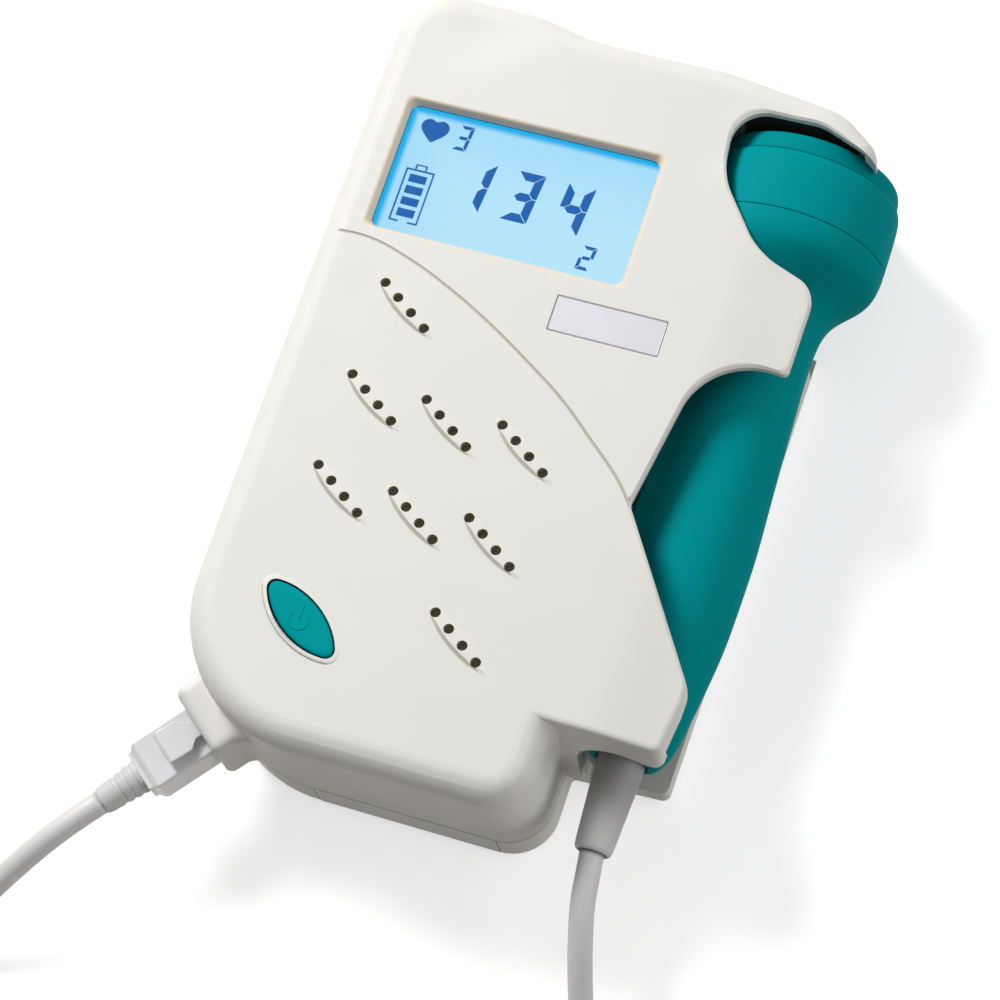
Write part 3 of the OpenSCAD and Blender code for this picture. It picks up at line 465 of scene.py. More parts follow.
class MakeFinishes(bpy.types.Operator):
    """Make the finishes of the covers, the probe, the plug, the display and the inner parts"""
    bl_idname = "doppler.finishes"
    bl_label = "Finishes"

    def execute(self, context):
        colours = context.scene.doppler_colours
        self.finish_covers(colours)
        self.finish_probe(colours)
        self.finish_trim()
        self.finish_inside()
        return {"FINISHED"}

    def finish_covers(self, colours):
        """The covers, and what the front cover's plastic turns into where it is cut open."""
        f = FINISHES
        # ABS injected into a spark-eroded mould: a soft matt white with wide, weak highlights
        f["case"] = moulded("Warm white ABS", colours.case, colours.case_mottle, 0.5, 0.35, 0.004,
                            sockets={"Specular IOR Level": 0.3})
        # The same moulding inside the sound holes, painted a dull olive as painted shade of the
        # deep bores
        f["hole"] = moulded("Warm white ABS, dusty bore", "A6A28A", "9B977F", 0.7, 0.35, 0.004)
        # The same moulding on the slope round the display, rougher, with painted warm shade in an
        # even tone
        f["recess"] = moulded("Warm white ABS, satin recess", "F0E1CC", "EADAC5", 0.6, 0.35, 0.004)
        # Painted shade: a dark matt colour inside the dock and round the button, so that the gap
        # round the probe looks deep
        f["gap_shade"] = moulded("Dark matt lining of the dock", "3C4441", "353C3A", 0.8, 0.35, 0.004)
        # The same moulding in the crease and on the ribs' lower walls, greyed as soft shade does
        f["crease"] = moulded("Warm white ABS, shaded groove", "C6C3B8", "BFBCB0", 0.7, 0.35, 0.004)
        # ABS from a smoother mould: a little greyer than the front cover, with a closer highlight
        f["back"] = moulded("Pale grey ABS", "DAD8D2", "D5D3CD", 0.45, 0.35, 0.005)

    def finish_probe(self, colours):
        """The probe, its cap, the power key, the sleeves and the lead."""
        f = FINISHES
        # ABS dyed through and moulded matt: one deep flat colour with hardly a highlight
        f["probe"] = moulded("Teal ABS", colours.probe, colours.probe_mottle, 0.6, 0.3, 0.003,
                             sockets={"Specular IOR Level": 0.02})
        # A second moulding of the same ABS, a shade darker, which sets the cap off from its ring
        f["cap"] = moulded("Teal cap ABS", "009499", "008E93", 0.6, 0.3, 0.003,
                           sockets={"Specular IOR Level": 0.02})
        # Silicone rubber pressed in a fine mould: dull all over and a little brighter than the grip
        f["button"] = moulded("Teal key silicone", "009EA4", "009A9F", 0.6, 0.25, 0.003,
                              sockets={"Specular IOR Level": 0.02})
        # Soft rubber moulded over the cord: mid grey, with painted light that pales it towards the
        # lead
        f["boot"] = moulded("Grey TPE", "A19F9D", "979593", 0.55, 0.3, 0.006, fade="D4D4D4")
        # PVC extruded over the wires: light grey with a soft line of light along it
        f["cord"] = moulded("Light grey PVC", colours.lead, colours.lead_mottle, 0.45, 0.4, 0.004)

    def finish_trim(self):
        """The name plate, the plug, and the display with its window."""
        f = FINISHES
        # Rolled sheet, brushed too finely to see and clear lacquered: a cool and milky sheen
        f["plate"] = moulded("Satin aluminium plate", "D9D8DE", "D2D1D8", 0.3, 0.2, 0.002,
                             sockets={"Metallic": 0.35})
        # Polycarbonate moulded smooth: nearly white in the mass, clear only along thin edges
        f["plug"] = moulded("Milky polycarbonate", "F2F2F3", "ECECEE", 0.25, 0.5, 0.002,
                            sockets={"Transmission Weight": 0.12, "IOR": 1.58})
        # Cast acrylic, polished. Its IOR is near that of air, so the film behind it stays undimmed
        f["glass"] = moulded("Clear acrylic window", "FFFFFF", "FFFFFF", 0.06, 1.0, 0.0,
                             sockets={"Transmission Weight": 1.0, "IOR": 1.05})
        # Diffusing film lit from its edge: a flat bright cyan that pales toward the lamp
        f["panel"] = lit("Backlit display film", "B4E4FA", "12AEEA")
        # Liquid crystal that blocks most of that light: plain deep blue strokes
        f["ink"] = lit("Display segments", "1B62B0")

    def finish_inside(self):
        """The parts inside the case, which show only where it is opened."""
        f = FINISHES
        # Foam cut from a sheet: open cells that swallow nearly all light
        f["foam"] = moulded("Black foam", "33353A", "2C2E32", 0.9, 0.6, 0.05)
        # ABS without dye, moulded plain: a greyish white, half matt
        f["inner"] = moulded("Natural ABS", "D6D5CF", "CFCEC8", 0.5, 0.4, 0.005)
        # Lacquer printed on glass fibre: an even dark green with a half gloss
        f["board"] = moulded("Green solder mask", "1F6B45", "1A5F3D", 0.35, 0.5, 0.01)
        # Woven cloth glued over the cone: olive and dull; the sound holes end short of it, on
        # floors of painted shade
        f["paper"] = moulded("Olive speaker cloth", "6E6C58", "63614E", 0.9, 0.3, 0.02)
        # Nylon moulded in a plain mould: a soft black with a faint sheen
        f["nylon"] = moulded("Black nylon", "303236", "2A2C30", 0.5, 0.3, 0.004)
        # Gold plated over springy bronze: a warm and bright metal
        f["gold"] = moulded("Gold plated contact", "D8B24A", "CFA840", 0.25, 0.3, 0.002,
                            sockets={"Metallic": 1.0})
        # Steel dipped in a zinc bath: a slightly dull, bluish grey metal
        f["zinc"] = moulded("Zinc plated steel", "B8BABD", "ADB0B4", 0.35, 0.2, 0.003,
                            sockets={"Metallic": 1.0})
        # Thin PVC shrunk round the cells: copper brown, smooth enough for a clear highlight
        f["wrap"] = moulded("Shrink wrap of the cells", "C07A2C", "B87328", 0.35, 0.8, 0.005)
        # ABS moulded plain: mid grey, so that the wheel's edge stands out in its slot
        f["wheel"] = moulded("Grey ABS wheel", "8F9092", "88898B", 0.45, 0.3, 0.005)
        # Fired and lapped ceramic: a chalky tan without any gloss
        f["ceramic"] = moulded("Piezo ceramic", "C8B070", "BFA768", 0.5, 0.2, 0.005)


def ease(value, start, end):
    """How far a value is from start to end, from 0 to 1, with a gentle start and stop."""
    k = min(max((value - start) / (end - start), 0), 1)
    return k * k * (3 - 2 * k)


def lead_points():
    """The lead's path in metres: to the coil, inward round its lower layer, outward round its
    upper one, and on to the plug."""
    turns = COIL_LOOPS + (COIL_FROM - COIL_TO) / (2 * math.pi)
    half = turns / 2
    inside = COIL_OUT - COIL_PITCH * half
    rings = round(turns * RINGS_PER_LOOP)
    wound = []
    for i in range(rings + 1):
        turn = turns * i / rings
        radius = inside + COIL_PITCH * abs(turn - half)
        height = COIL_LOW + COIL_LAYER * ease(turn, half - 0.25, half + 0.25)
        angle = COIL_FROM - 2 * math.pi * turn
        wound.append((COIL_CENTRE[0] + radius * math.cos(angle),
                      COIL_CENTRE[1] + radius * math.sin(angle), height))
    return [Vector(p) * MM for p in ROUTE_PROBE + wound + ROUTE_PLUG]


def tube(points, radius, sides=4, smooth=4):
    """A round tube mesh along points, with closed ends. Bezier handles make it one smooth curve."""
    curve = bpy.data.curves.new("path", "CURVE")
    curve.dimensions = "3D"
    curve.bevel_depth = radius
    curve.bevel_resolution = sides
    curve.resolution_u = smooth
    curve.use_fill_caps = True
    spline = curve.splines.new("BEZIER")
    spline.bezier_points.add(len(points) - 1)
    for knot, point in zip(spline.bezier_points, points):
        knot.co = point
        knot.handle_left_type = knot.handle_right_type = "AUTO"
    thing = bpy.data.objects.new("path", curve)
    mesh = bpy.data.meshes.new_from_object(thing)
    bpy.data.objects.remove(thing)
    bm = bmesh.new()
    bm.from_mesh(mesh)
    bmesh.ops.remove_doubles(bm, verts=bm.verts, dist=radius * 0.001)
    bmesh.ops.recalc_face_normals(bm, faces=bm.faces)
    return solid(bm)


# Sides of a turned shape, before it is smoothed
LATHE_STEPS = 48


def lathe(profile):
    """A body of revolution about the probe's axis, from points (distance along Y, radius)."""
    bm = bmesh.new()
    verts = [bm.verts.new((PROBE_X + radius, along, PROBE_Z)) for along, radius in profile]
    edges = [bm.edges.new(pair) for pair in zip(verts, verts[1:])]
    if profile[0][1] > 0:
        edges.append(bm.edges.new((verts[-1], verts[0])))
    bmesh.ops.spin(bm, geom=verts + edges, cent=(PROBE_X, 0, PROBE_Z), axis=(0, 1, 0),
                   angle=2 * math.pi, steps=LATHE_STEPS, use_merge=True)
    bmesh.ops.remove_doubles(bm, verts=bm.verts, dist=0.001)
    bmesh.ops.recalc_face_normals(bm, faces=bm.faces)
    return solid(bm)


def subdivide(thing, levels=2):
    """Smooths a turned shape's steps into one surface, and returns the shape."""
    step = thing.modifiers.new("Smooth", "SUBSURF")
    step.levels = step.render_levels = levels
    return thing


class BuildLead(bpy.types.Operator):
    """Make the lead as one tube from the probe's sleeve to the plug"""
    bl_idname = "doppler.lead"
    bl_label = "Lead"

    def execute(self, context):
        sizes = context.scene.doppler_sizes
        points = lead_points()
        lead = tube(points, sizes.lead_diameter / 2)
        lead.name = lead.data.name = "lead"
        lead.data.materials.append(FINISHES["cord"])
        lead.data.shade_smooth()
        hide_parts("lead_probe_side", "lead_coil", "lead_plug_side")
        # Square to the probe's slide, so that the moved tube keeps its width
        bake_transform(lead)
        return {"FINISHED"}


# The case screws: where they are, and in mm the radii of each one's post, hole and head
SCREWS = [(-40.5, 61.5), (3, 57), (-40.5, -20), (11.2, -8)]
POST_RADIUS = 3
SCREW_HOLE = 1.4
SCREW_HEAD = 2.7

# The ribs by their first hole, the row of holes in each, and how deep a hole goes
RIBS = [(-31.9, 12.5), (-31.9, -4.9), (-18.2, -6), (-4.4, -7), (-32.1, -21.9), (-18.4, -23),
        (-4.6, -24.1), (-4.8, -41.2)]
RIB_TURN = math.radians(-35)
HOLE_COUNT = 4
ROW_MIDDLE = (HOLE_COUNT - 1) / 2
HOLE_PITCH = 3.7
HOLE_RADIUS = 0.9
# The holes' floor, just above the skin's underside: it stands in for the speaker's cloth, with
# painted shade
HOLE_FLOOR_Z = 33.4

# Leaf outlines of the ribs, of the rim round the button and its hole, and of the button itself
RIB_LEAF = leaf(18, 4.2, 0.4)
RIM_LEAF = leaf(19.1, 9.4, 2.3)
BUTTON_HOLE = leaf(17.0, 7.6, 1.7)
BUTTON_LEAF = leaf(16.5, 7.1, 1.5)
BUTTON_FLANGE = leaf(19.4, 9.4, 2.2)
BUTTON_AT = (-26, -48.3)
BUTTON_TURN = math.radians(-34.5)

# Raised leaves: their walls as heights from the top and insets, the height of the top, how far
# it leans per mm across, and how far its left and right end bow down per square mm along
RIB_WALL = [(-1.2, 0), (-0.42, 0), (-0.34, 0.12), (-0.21, 0.38), (-0.1, 0.68), (-0.03, 0.9),
            (0, 1.2)]
RIB_TOP = 35.22
RIB_LEAN = -0.112
RIB_BOW = (0.003, 0.0006)
RIM_WALL = [(-1.2, 0), (-0.34, 0), (-0.19, 0.08), (-0.07, 0.25), (-0.01, 0.5), (0, 0.8)]
RIM_TOP = 35.19
RIM_LEAN = -0.042
# A wall whose normal points across the leaf, down the case, by more than this gets the crease
# finish's painted shade
SHADED = -0.36

# The shell's foot at the seam, then the crisp edge of the flap, as heights and insets in mm
FOOT = [(9, 0.6), (9.25, 0.6), (9.27, 0.1), (9.4, 0)]
FLAP_EDGE = [(34.1, 0), (34.45, 0.08), (34.75, 0.28), (34.93, 0.6), (35, 1)]
FLAP_LEAN = 1.9

# The block round the socket, which points along +X, and its rings
BLOCK = [(17, -11.5, 0), (21.9, -11.5, 0.3), (24.7, -6.9, 3), (29.9, -6.9, 1.6),
         (29.9, 6.9, 1.6), (24.7, 6.9, 3), (21.9, 11.5, 0.3), (17, 11.5, 0)]
BLOCK_RINGS = [(12, 0.8), (12.3, 0.3), (13, 0), (23.7, 0), (24.4, 0.14), (24.9, 0.42),
               (25.25, 0.85), (25.44, 1.4), (25.5, 2)]

# The arch over the probe's sleeve: its middle, its radius, and how far it runs along Y
ARCH_X = 29.6
ARCH_Z = 20.2
ARCH_RADIUS = 7.4
ARCH_RUN = (-56.6, -48.6)

# The ridge round the display's end and the curved crease below it, as paths in mm
RIDGE = [(-40.4, 49.6), (-29.2, 54.6), (-22.8, 59.3), (-18.8, 62.9), (-10.4, 64.1), (-5, 62),
         (1.2, 58.5), (6.2, 53.7), (9.9, 47.9), (13, 44.1), (17.4, 41)]
CREASE_PATH = [(-47.5, 19.8), (-44, 19.8), (-37.3, 19.8), (-29.6, 17.8), (-21.6, 14.6),
               (-11.9, 9.7), (-3.5, 4.7), (3.6, 0.1), (11.2, -6.1), (17.3, -11.4), (20.9, -15.7)]
CREASE_Z = 35.08
CREASE_RADIUS = 0.28

# The front face's relief in mm: how soft the ridge is, how far the face drops outside it and over
# the flaps, the heights between which the walls below start to follow, and the grid's step
RIDGE_SOFT = 0.7
RIDGE_DROP = 0.8
FLAP_DROP = 1.7
RELIEF_FROM = 28
RELIEF_FULL = 33
GRID = 1.4


def beside(path, x, y):
    """Signed distance from a path, positive on its left, and how far along it from 0 to 1."""
    best = (1e9, 0.0)
    here = Vector((x, y))
    for i in range(len(path) - 1):
        a = Vector(path[i])
        run = Vector(path[i + 1]) - a
        part = min(max((here - a).dot(run) / run.length_squared, 0), 1)
        away = here - a - run * part
        if away.length < abs(best[0]):
            best = (math.copysign(away.length, run.cross(away)), (i + part) / (len(path) - 1))
    return best


def relief(x, y):
    """How far the front face lies below flat, in mm: outside the display's ridge, where it drops
    and rises again further out, and on the flaps, which slope down to the right."""
    away, along = beside(RIDGE, x, y)
    ends = ease(along, 0, 0.15) * (1 - ease(along, 0.85, 1))
    slope = math.log1p(math.exp(min(away, 30) / RIDGE_SOFT)) * RIDGE_SOFT
    outside = RIDGE_DROP * (1 - math.exp(-slope / 6)) * ends * (1 - 0.7 * ease(away, 5, 18))
    flap = FLAP_DROP * ease(x, 24, 41) * (1 - ease(y, 31, 41))
    return outside + flap


def facing_up(bm, least, above):
    """The faces whose normals point up by at least so much, and that lie above a height."""
    return [f for f in bm.faces if f.normal.z > least and f.calc_center_median().z > above]


def grid_top(thing, spacing):
    """Insets the front face, cuts it into a grid by planes, and lets it follow its relief."""
    bm = bmesh.new()
    bm.from_mesh(thing.data)
    bmesh.ops.inset_region(bm, faces=facing_up(bm, 0.9999, 34.9), thickness=0.2,
                           use_even_offset=False, use_boundary=True)
    top = facing_up(bm, 0.02, 30.4)
    geom = top + list({edge for face in top for edge in face.edges})
    geom += list({vert for face in top for vert in face.verts})
    for axis, low, high in ((0, -46, 42), (1, -69, 69)):
        steps = round((high - low) / spacing)
        for i in range(steps + 1):
            spot = [0.0, 0.0, 0.0]
            side = [0.0, 0.0, 0.0]
            # A little off the round number, so that no plane runs along an edge that is there
            spot[axis] = low + (high - low) * i / steps + 0.013
            side[axis] = 1.0
            geom = bmesh.ops.bisect_plane(bm, geom=geom, plane_co=spot, plane_no=side,
                                          dist=0.0001)["geom"]
    for vert in bm.verts:
        x, y, z = vert.co
        if z > RELIEF_FROM:
            vert.co.z -= relief(x, y) * ease(z, RELIEF_FROM, RELIEF_FULL)
    bmesh.ops.triangulate(bm, faces=[face for face in bm.faces if len(face.verts) > 4])
    bm.to_mesh(thing.data)
    bm.free()


def at_socket(corners):
    """An outline drawn along +X, placed where the socket points out of the round corner."""
    return turned(corners, *SOCKET_CENTRE, SOCKET_TURN)


def at_button(corners):
    """An outline drawn about the origin, placed and turned as the button is."""
    return turned(corners, *BUTTON_AT, BUTTON_TURN)


def rib_places():
    """Each rib's first hole, with the cosine and sine of the angle at which its row runs."""
    c, s = math.cos(RIB_TURN), math.sin(RIB_TURN)
    for x, y in RIBS:
        yield x, y, c, s


def cavity(inset, low, high):
    """The case's inside between two heights, which stops short of the dock's walls."""
    space = slab(CASE_OUTLINE, low, high, inset)
    return boolean(space, slab(DOCK_LOW, low - 1, high + 1, -1.6))


class BuildFront(bpy.types.Operator):
    """Make the front cover: a rounded shell with dock, display opening and sound ribs"""
    bl_idname = "doppler.front"
    bl_label = "Front cover"

    def execute(self, context):
        sizes = context.scene.doppler_sizes
        body = self.make_shell(sizes.edge_round / MM)
        self.add_flap(body)
        boolean(body, lofted(at_socket(BLOCK), BLOCK_RINGS), "UNION")
        self.raise_top(body, RIM_LEAF, BUTTON_AT, BUTTON_TURN, RIM_TOP, RIM_LEAN, RIM_WALL)
        for x, y, c, s in rib_places():
            middle = (x + c * ROW_MIDDLE * HOLE_PITCH, y + s * ROW_MIDDLE * HOLE_PITCH)
            self.raise_top(body, RIB_LEAF, middle, RIB_TURN, RIB_TOP, RIB_LEAN, RIB_WALL, RIB_BOW)
        self.hollow_out(body)
        self.cut_dock(body, sizes.lip_round / MM)
        self.cut_probe_room(body)
        self.cut_places(body)
        self.cut_sound_holes(body)
        # The crease: a groove that takes the crease finish's painted shade
        groove = tube([Vector((x, y, CREASE_Z)) for x, y in CREASE_PATH], CREASE_RADIUS, 3, 6)
        boolean(body, paint(groove, CREASE))
        grid_top(body, GRID)
        settle(body, "front_shell", FINISHES["case"], "root", ["front_cover"])
        return {"FINISHED"}

    def make_shell(self, edge):
        """The cover's outside as one solid, with a quarter round along its upper edge."""
        quarter = [math.pi / 16 * i for i in range(9)]
        rings = [(FRONT_Z - edge * (1 - math.sin(a)), edge * (1 - math.cos(a))) for a in quarter]
        body = lofted(CASE_OUTLINE, FOOT + rings, "front_shell")
        for finish in SHELL_FINISHES:
            body.data.materials.append(FINISHES[finish])
        return body

    def add_flap(self, body):
        """The flap over the dock's lower end. It has a crisp edge, unlike the soft one round the
        case, and its end wall leans out towards its lower edge."""
        bm = bmesh.new()
        loft(bm, FLAP_OUTLINE, FOOT + FLAP_EDGE)
        for vert in bm.verts:
            if vert.co.y < -50:
                vert.co.y -= FLAP_LEAN * (1 - ease(vert.co.z, 26.5, 34.5))
        boolean(body, solid(bm), "UNION")

    def raise_top(self, body, corners, place, turn, height, lean, rings, bow=(0, 0)):
        """Adds a raised leaf that leans and bows, so that its upper right side and its ends run
        into the face. The wall of its lower left side gets painted shade."""
        bm = bmesh.new()
        loft(bm, corners, rings)
        bmesh.ops.triangulate(bm, faces=bm.faces)
        for vert in bm.verts:
            x, y, _ = vert.co
            vert.co.z += lean * y - bow[x > 0] * x * x
        tool = paint(solid(bm), CASE)
        for polygon in tool.data.polygons:
            if polygon.normal.y < SHADED:
                polygon.material_index = CREASE
        tool.data.transform(Matrix.Translation((*place, height)) @ Matrix.Rotation(turn, 4, "Z"))
        boolean(body, tool, "UNION")

    def hollow_out(self, body):
        """The inside, drawn in further under the soft edge, and a post round each screw."""
        boolean(body, cavity(2, FRONT_CUT, 30.5))
        boolean(body, cavity(3.6, 29.5, SKIN_Z))
        for x, y in SCREWS:
            boolean(body, rod(POST_RADIUS, (x, y, SEAM_Z), (x, y, 34), 32), "UNION")

    def cut_dock(self, body, lip):
        """The dock's low and high room, and the opening with its rounded lip."""
        boolean(body, slab(DOCK_LOW, FRONT_CUT, 28.6))
        # The high room's walls are painted dark, as painted shade
        boolean(body, paint(slab(DOCK_HIGH, 27.6, SKIN_Z), GAP_SHADE))
        boolean(body, flared(OPENING, FRONT_CUT, FRONT_Z, lip))

    def cut_probe_room(self, body):
        """Room for the head, for the cap on its way out, and the arch over the sleeve."""
        # Room for the head, its wall painted dark as painted shade
        head_room = rod(17.9, (PROBE_X, 39.5, PROBE_Z), (PROBE_X, 50.8, PROBE_Z), 96)
        boolean(body, paint(head_room, GAP_SHADE))
        boolean(body, rod(17.1, (PROBE_X, 37, PROBE_Z), (PROBE_X, 41, PROBE_Z), 96))
        start, end = ARCH_RUN
        boolean(body, rod(ARCH_RADIUS, (ARCH_X, start, ARCH_Z), (ARCH_X, end, ARCH_Z)))
        # Below its axis the arch is open down to the seam, and right of it the way out is taller
        boolean(body, bar(22.2, 70, start, end, FRONT_CUT, ARCH_Z))
        boolean(body, bar(ARCH_X, 70, start, end, FRONT_CUT, 26.2))
        cap_room = rod(16.8, (PROBE_X, 44.6, PROBE_Z), (PROBE_X, 58.6, PROBE_Z), 96)
        boolean(cap_room, bar(20, 60, 46.2, 58.6, SEAM_Z, SKIN_Z), "INTERSECT")
        boolean(body, cap_room)
        # Below its lip the hood is hollowed out, its inside painted dark as painted shade
        under = slab(OPENING, 20, 33.2, -1.2)
        boolean(body, paint(boolean(under, bar(12, 39.6, 50, 62, 10, 40), "INTERSECT"), GAP_SHADE))

    def cut_places(self, body):
        """Places for the display, the name plate, the button, the plug, the volume wheel and the
        earphone's plug."""
        # The display frame's sloping wall takes the recess finish's painted warm shade
        frame_slope = sloped(box_outline(*DISPLAY_HOLE), 32, 33.5, FRONT_Z, 0.75)
        boolean(body, paint(frame_slope, RECESS))
        boolean(body, flared(box_outline(*PLATE_HOLE), 34.4, FRONT_Z, 0.12))
        # The button's hole has its walls painted dark, as painted shade
        boolean(body, paint(flared(at_button(BUTTON_HOLE), 32, 35.39, 0.12), GAP_SHADE))
        boolean(body, slab(at_socket(box_outline(*SOCKET_WELL)), 13, 23.7))
        boolean(body, slab(box_outline(*WHEEL_SLOT), 13.3, 17.5))
        boolean(body, rod(3.25, (-8, 62, 16.5), (-8, 72, 16.5), 48))

    def cut_sound_holes(self, body):
        """A row of round holes in each rib, blind just short of the skin's underside, with painted
        shade inside.
        """
        holes = []
        for x, y, c, s in rib_places():
            for i in range(HOLE_COUNT):
                spot = (x + c * HOLE_PITCH * i, y + s * HOLE_PITCH * i)
                holes.append(rod(HOLE_RADIUS, (*spot, HOLE_FLOOR_Z), (*spot, 37), 20))
        # Their walls and floors take the hole finish's painted shade
        boolean(body, paint(merge(*holes), HOLE))


class BuildBack(bpy.types.Operator):
    """Make the back cover with the dock's tray, and the battery door"""
    bl_idname = "doppler.back"
    bl_label = "Back cover"

    def execute(self, context):
        rings = [(0, 1.6), (0.12, 1.2), (0.5, 0.6), (1, 0.2), (1.6, 0), (8.6, 0), (8.7, 0.1),
                 (8.72, 0.6), (9, 0.6)]
        body = lofted(BACK_OUTLINE, rings, "back_shell")
        self.hollow_out(body)
        self.cut_tray(body)
        for x, y in SCREWS:
            boolean(body, rod(POST_RADIUS, (x, y, 0), (x, y, SEAM_Z), 32), "UNION")
        # Two bearings under the grip
        for y in (-36.8, 13.2):
            boolean(body, bar(24, 31, y, y + 2, 1.8, 6.85), "UNION")
        self.cut_door_opening(body)
        for x, y in SCREWS:
            boolean(body, rod(SCREW_HOLE, (x, y, -1), (x, y, BACK_CUT), 32))
            boolean(body, rod(SCREW_HEAD, (x, y, -1), (x, y, 2.2), 48))
        settle(body, "back_shell", FINISHES["back"], "root", ["back_cover"])
        self.make_door()
        return {"FINISHED"}

    def hollow_out(self, body):
        """The inside, kept out of the dock's walls, with the batteries' end open to its wall."""
        inside = slab(BACK_OUTLINE, 2, BACK_CUT, 2)
        boolean(inside, slab(DOCK_LOW, 1, 11, -1.6))
        boolean(inside, bar(15.1, 70, -70, -50.6, 1, 11))
        boolean(body, inside)
        lower_end = slab(BACK_OUTLINE, 2, BACK_CUT, 2)
        boolean(body, boolean(lower_end, bar(-50, 70, -57, 80, 1, 11)))

    def cut_tray(self, body):
        """The tray that carries the probe, wider in its upper part, and the hole in its floor."""
        boolean(body, slab(TRAY, 2, BACK_CUT))
        boolean(body, slab(TRAY_UPPER, 6, BACK_CUT))
        boolean(body, slab(FLOOR_HOLE, -1, BACK_CUT))

    def cut_door_opening(self, body):
        """The battery door's place in the floor and the end wall, and the slots for its tongues."""
        boolean(body, slab(box_outline(*DOOR_OPENING), -1, 3))
        boolean(body, bar(-21.6, 11.4, -70.5, -66.4, -1, 12))
        boolean(body, bar(-22.4, 12.2, -70.5, -22.3, 0.7, 1.6))

    def make_door(self):
        """The battery door: a plate with tongues, a chin with a round notch, and finger grooves."""
        door = lofted(box_outline(*DOOR), [(0, 0.3), (0.3, 0), (1.9, 0)], "door")
        boolean(door, bar(-22.2, 12, -66.5, -22.5, 0.9, 1.4), "UNION")
        boolean(door, slab(box_outline(*DOOR_CHIN), 0, 8.85), "UNION")
        boolean(door, rod(3, (-22, -70.9, -1.4), (13, -70.9, -1.4), 32))
        grooves = [bar(-13.1, 2.9, -35.5 + 1.8 * i, -34.7 + 1.8 * i, -0.1, 0.4) for i in range(6)]
        boolean(door, merge(*grooves))
        settle(door, "battery_lid", FINISHES["back"], "door", ["battery_door"])


class BuildProbe(bpy.types.Operator):
    """Make the probe: its grip, the ring and cap of its flat head, and the lead's sleeve"""
    bl_idname = "doppler.probe"
    bl_label = "Probe"

    def execute(self, context):
        self.make_grip()
        self.make_ring()
        self.make_cap()
        self.make_sleeve()
        return {"FINISHED"}

    def turn_piece(self, name, profile, finish, slot, node):
        """One turned piece of the probe from its profile of (distance along Y, radius)."""
        settle(subdivide(lathe(profile)), name, FINISHES[finish], "probe", [node], angle=None)

    def make_grip(self):
        """The waisted grip that swells to the ring, hollow inside, measured from its lower end."""
        outer = [(-2, 4.3), (-2, 5), (-1.8, 5.7), (-1.3, 6.3), (-0.7, 6.7), (0.8, 7.6), (3.5, 8.4),
                 (9.8, 9.3), (18.8, 10.5), (24, 10.9), (32.8, 11.1), (38.8, 11.2), (45.3, 10.9),
                 (52.8, 10.6), (60.3, 10.4), (70.8, 10.1), (75.8, 10.1), (79.7, 10.5),
                 (81.8, 11.2), (83.5, 12.1), (85, 13.2), (86.8, 14.8), (88.4, 16.2), (89.8, 17.0),
                 (91.8, 17.4), (93.5, 17.5), (93.7, 17.46), (93.77, 17.3)]
        inner = [(93.77, 15.8), (88, 14), (82, 9), (70, 8.2), (38, 9.3), (12, 7.6), (3, 5.8),
                 (3, 4.3)]
        profile = [(PROBE_END + y, r) for y, r in outer + inner]
        self.turn_piece("probe_grip", profile, "probe", "probe_teal", "probe_handle")

    def make_ring(self):
        """The ring round the head, from its fine seam with the grip to the step at the cap."""
        profile = [
            (SEAM_Y - 0.02, 15.8), (SEAM_Y, 17.25), (SEAM_Y + 0.06, 17.44), (SEAM_Y + 0.2, 17.5),
            (SEAM_Y + 2, 17.5), (SEAM_Y + 7, 17.5), (STEP_Y - 1.3, 17.35), (STEP_Y - 0.5, 17.1),
            (STEP_Y - 0.15, 16.8), (STEP_Y, 16.5), (STEP_Y - 0.1, 15), (STEP_Y - 2, 14.2)]
        self.turn_piece("probe_ring", profile, "probe", "probe_teal", "probe_head")

    def make_cap(self):
        """The cap with its flat face, closed at the axis."""
        profile = [
            (STEP_Y, 0), (STEP_Y, 16.2), (STEP_Y + 0.15, 16.35), (STEP_Y + 0.6, 16.4),
            (STEP_Y + 2.4, 16.3), (STEP_Y + 3.2, 16), (STEP_Y + 3.65, 15.4), (FACE_Y, 14.4),
            (FACE_Y, 10), (FACE_Y, 0)]
        self.turn_piece("probe_face", profile, "cap", "probe_cap_teal", "probe_cap")

    def make_sleeve(self):
        """The tapered sleeve round the lead, whose collar sits in the grip's lower end."""
        sleeve = [(3, 2.1), (3, 4), (0.4, 4), (0.1, 3.6), (-0.05, 3.7), (-0.3, 4.0), (-0.9, 4.15),
                  (-2, 4.1), (-4.5, 4.0), (-9, 3.75), (-13, 3.5), (-16.8, 3.3), (-17.6, 3.15),
                  (-18, 2.7), (-18, 2.15)]
        profile = [(PROBE_END + y, r) for y, r in sleeve]
        self.turn_piece("probe_sleeve", profile, "boot", "boot_grey", "probe_boot")


def at_plug(bm):
    """Places a shape made along +X, with its middle at height 0, in the socket's frame."""
    move = Matrix.Translation((*SOCKET_CENTRE, PLUG_Z)) @ Matrix.Rotation(SOCKET_TURN, 4, "Z")
    bmesh.ops.transform(bm, matrix=move, verts=bm.verts)
    return solid(bm)


def lying(corners, rings):
    """A loft whose outline lies in YZ and whose rings step along X."""
    bm = bmesh.new()
    loft(bm, corners, rings)
    bmesh.ops.rotate(bm, cent=(0, 0, 0), matrix=Matrix(((0, 0, 1), (1, 0, 0), (0, 1, 0))),
                     verts=bm.verts)
    return at_plug(bm)


def extruded(bm, face, way):
    """Sweeps a face into a solid along a vector."""
    sweep = bmesh.ops.extrude_face_region(bm, geom=[face])["geom"]
    moved = [item for item in sweep if isinstance(item, bmesh.types.BMVert)]
    bmesh.ops.translate(bm, vec=way, verts=moved)


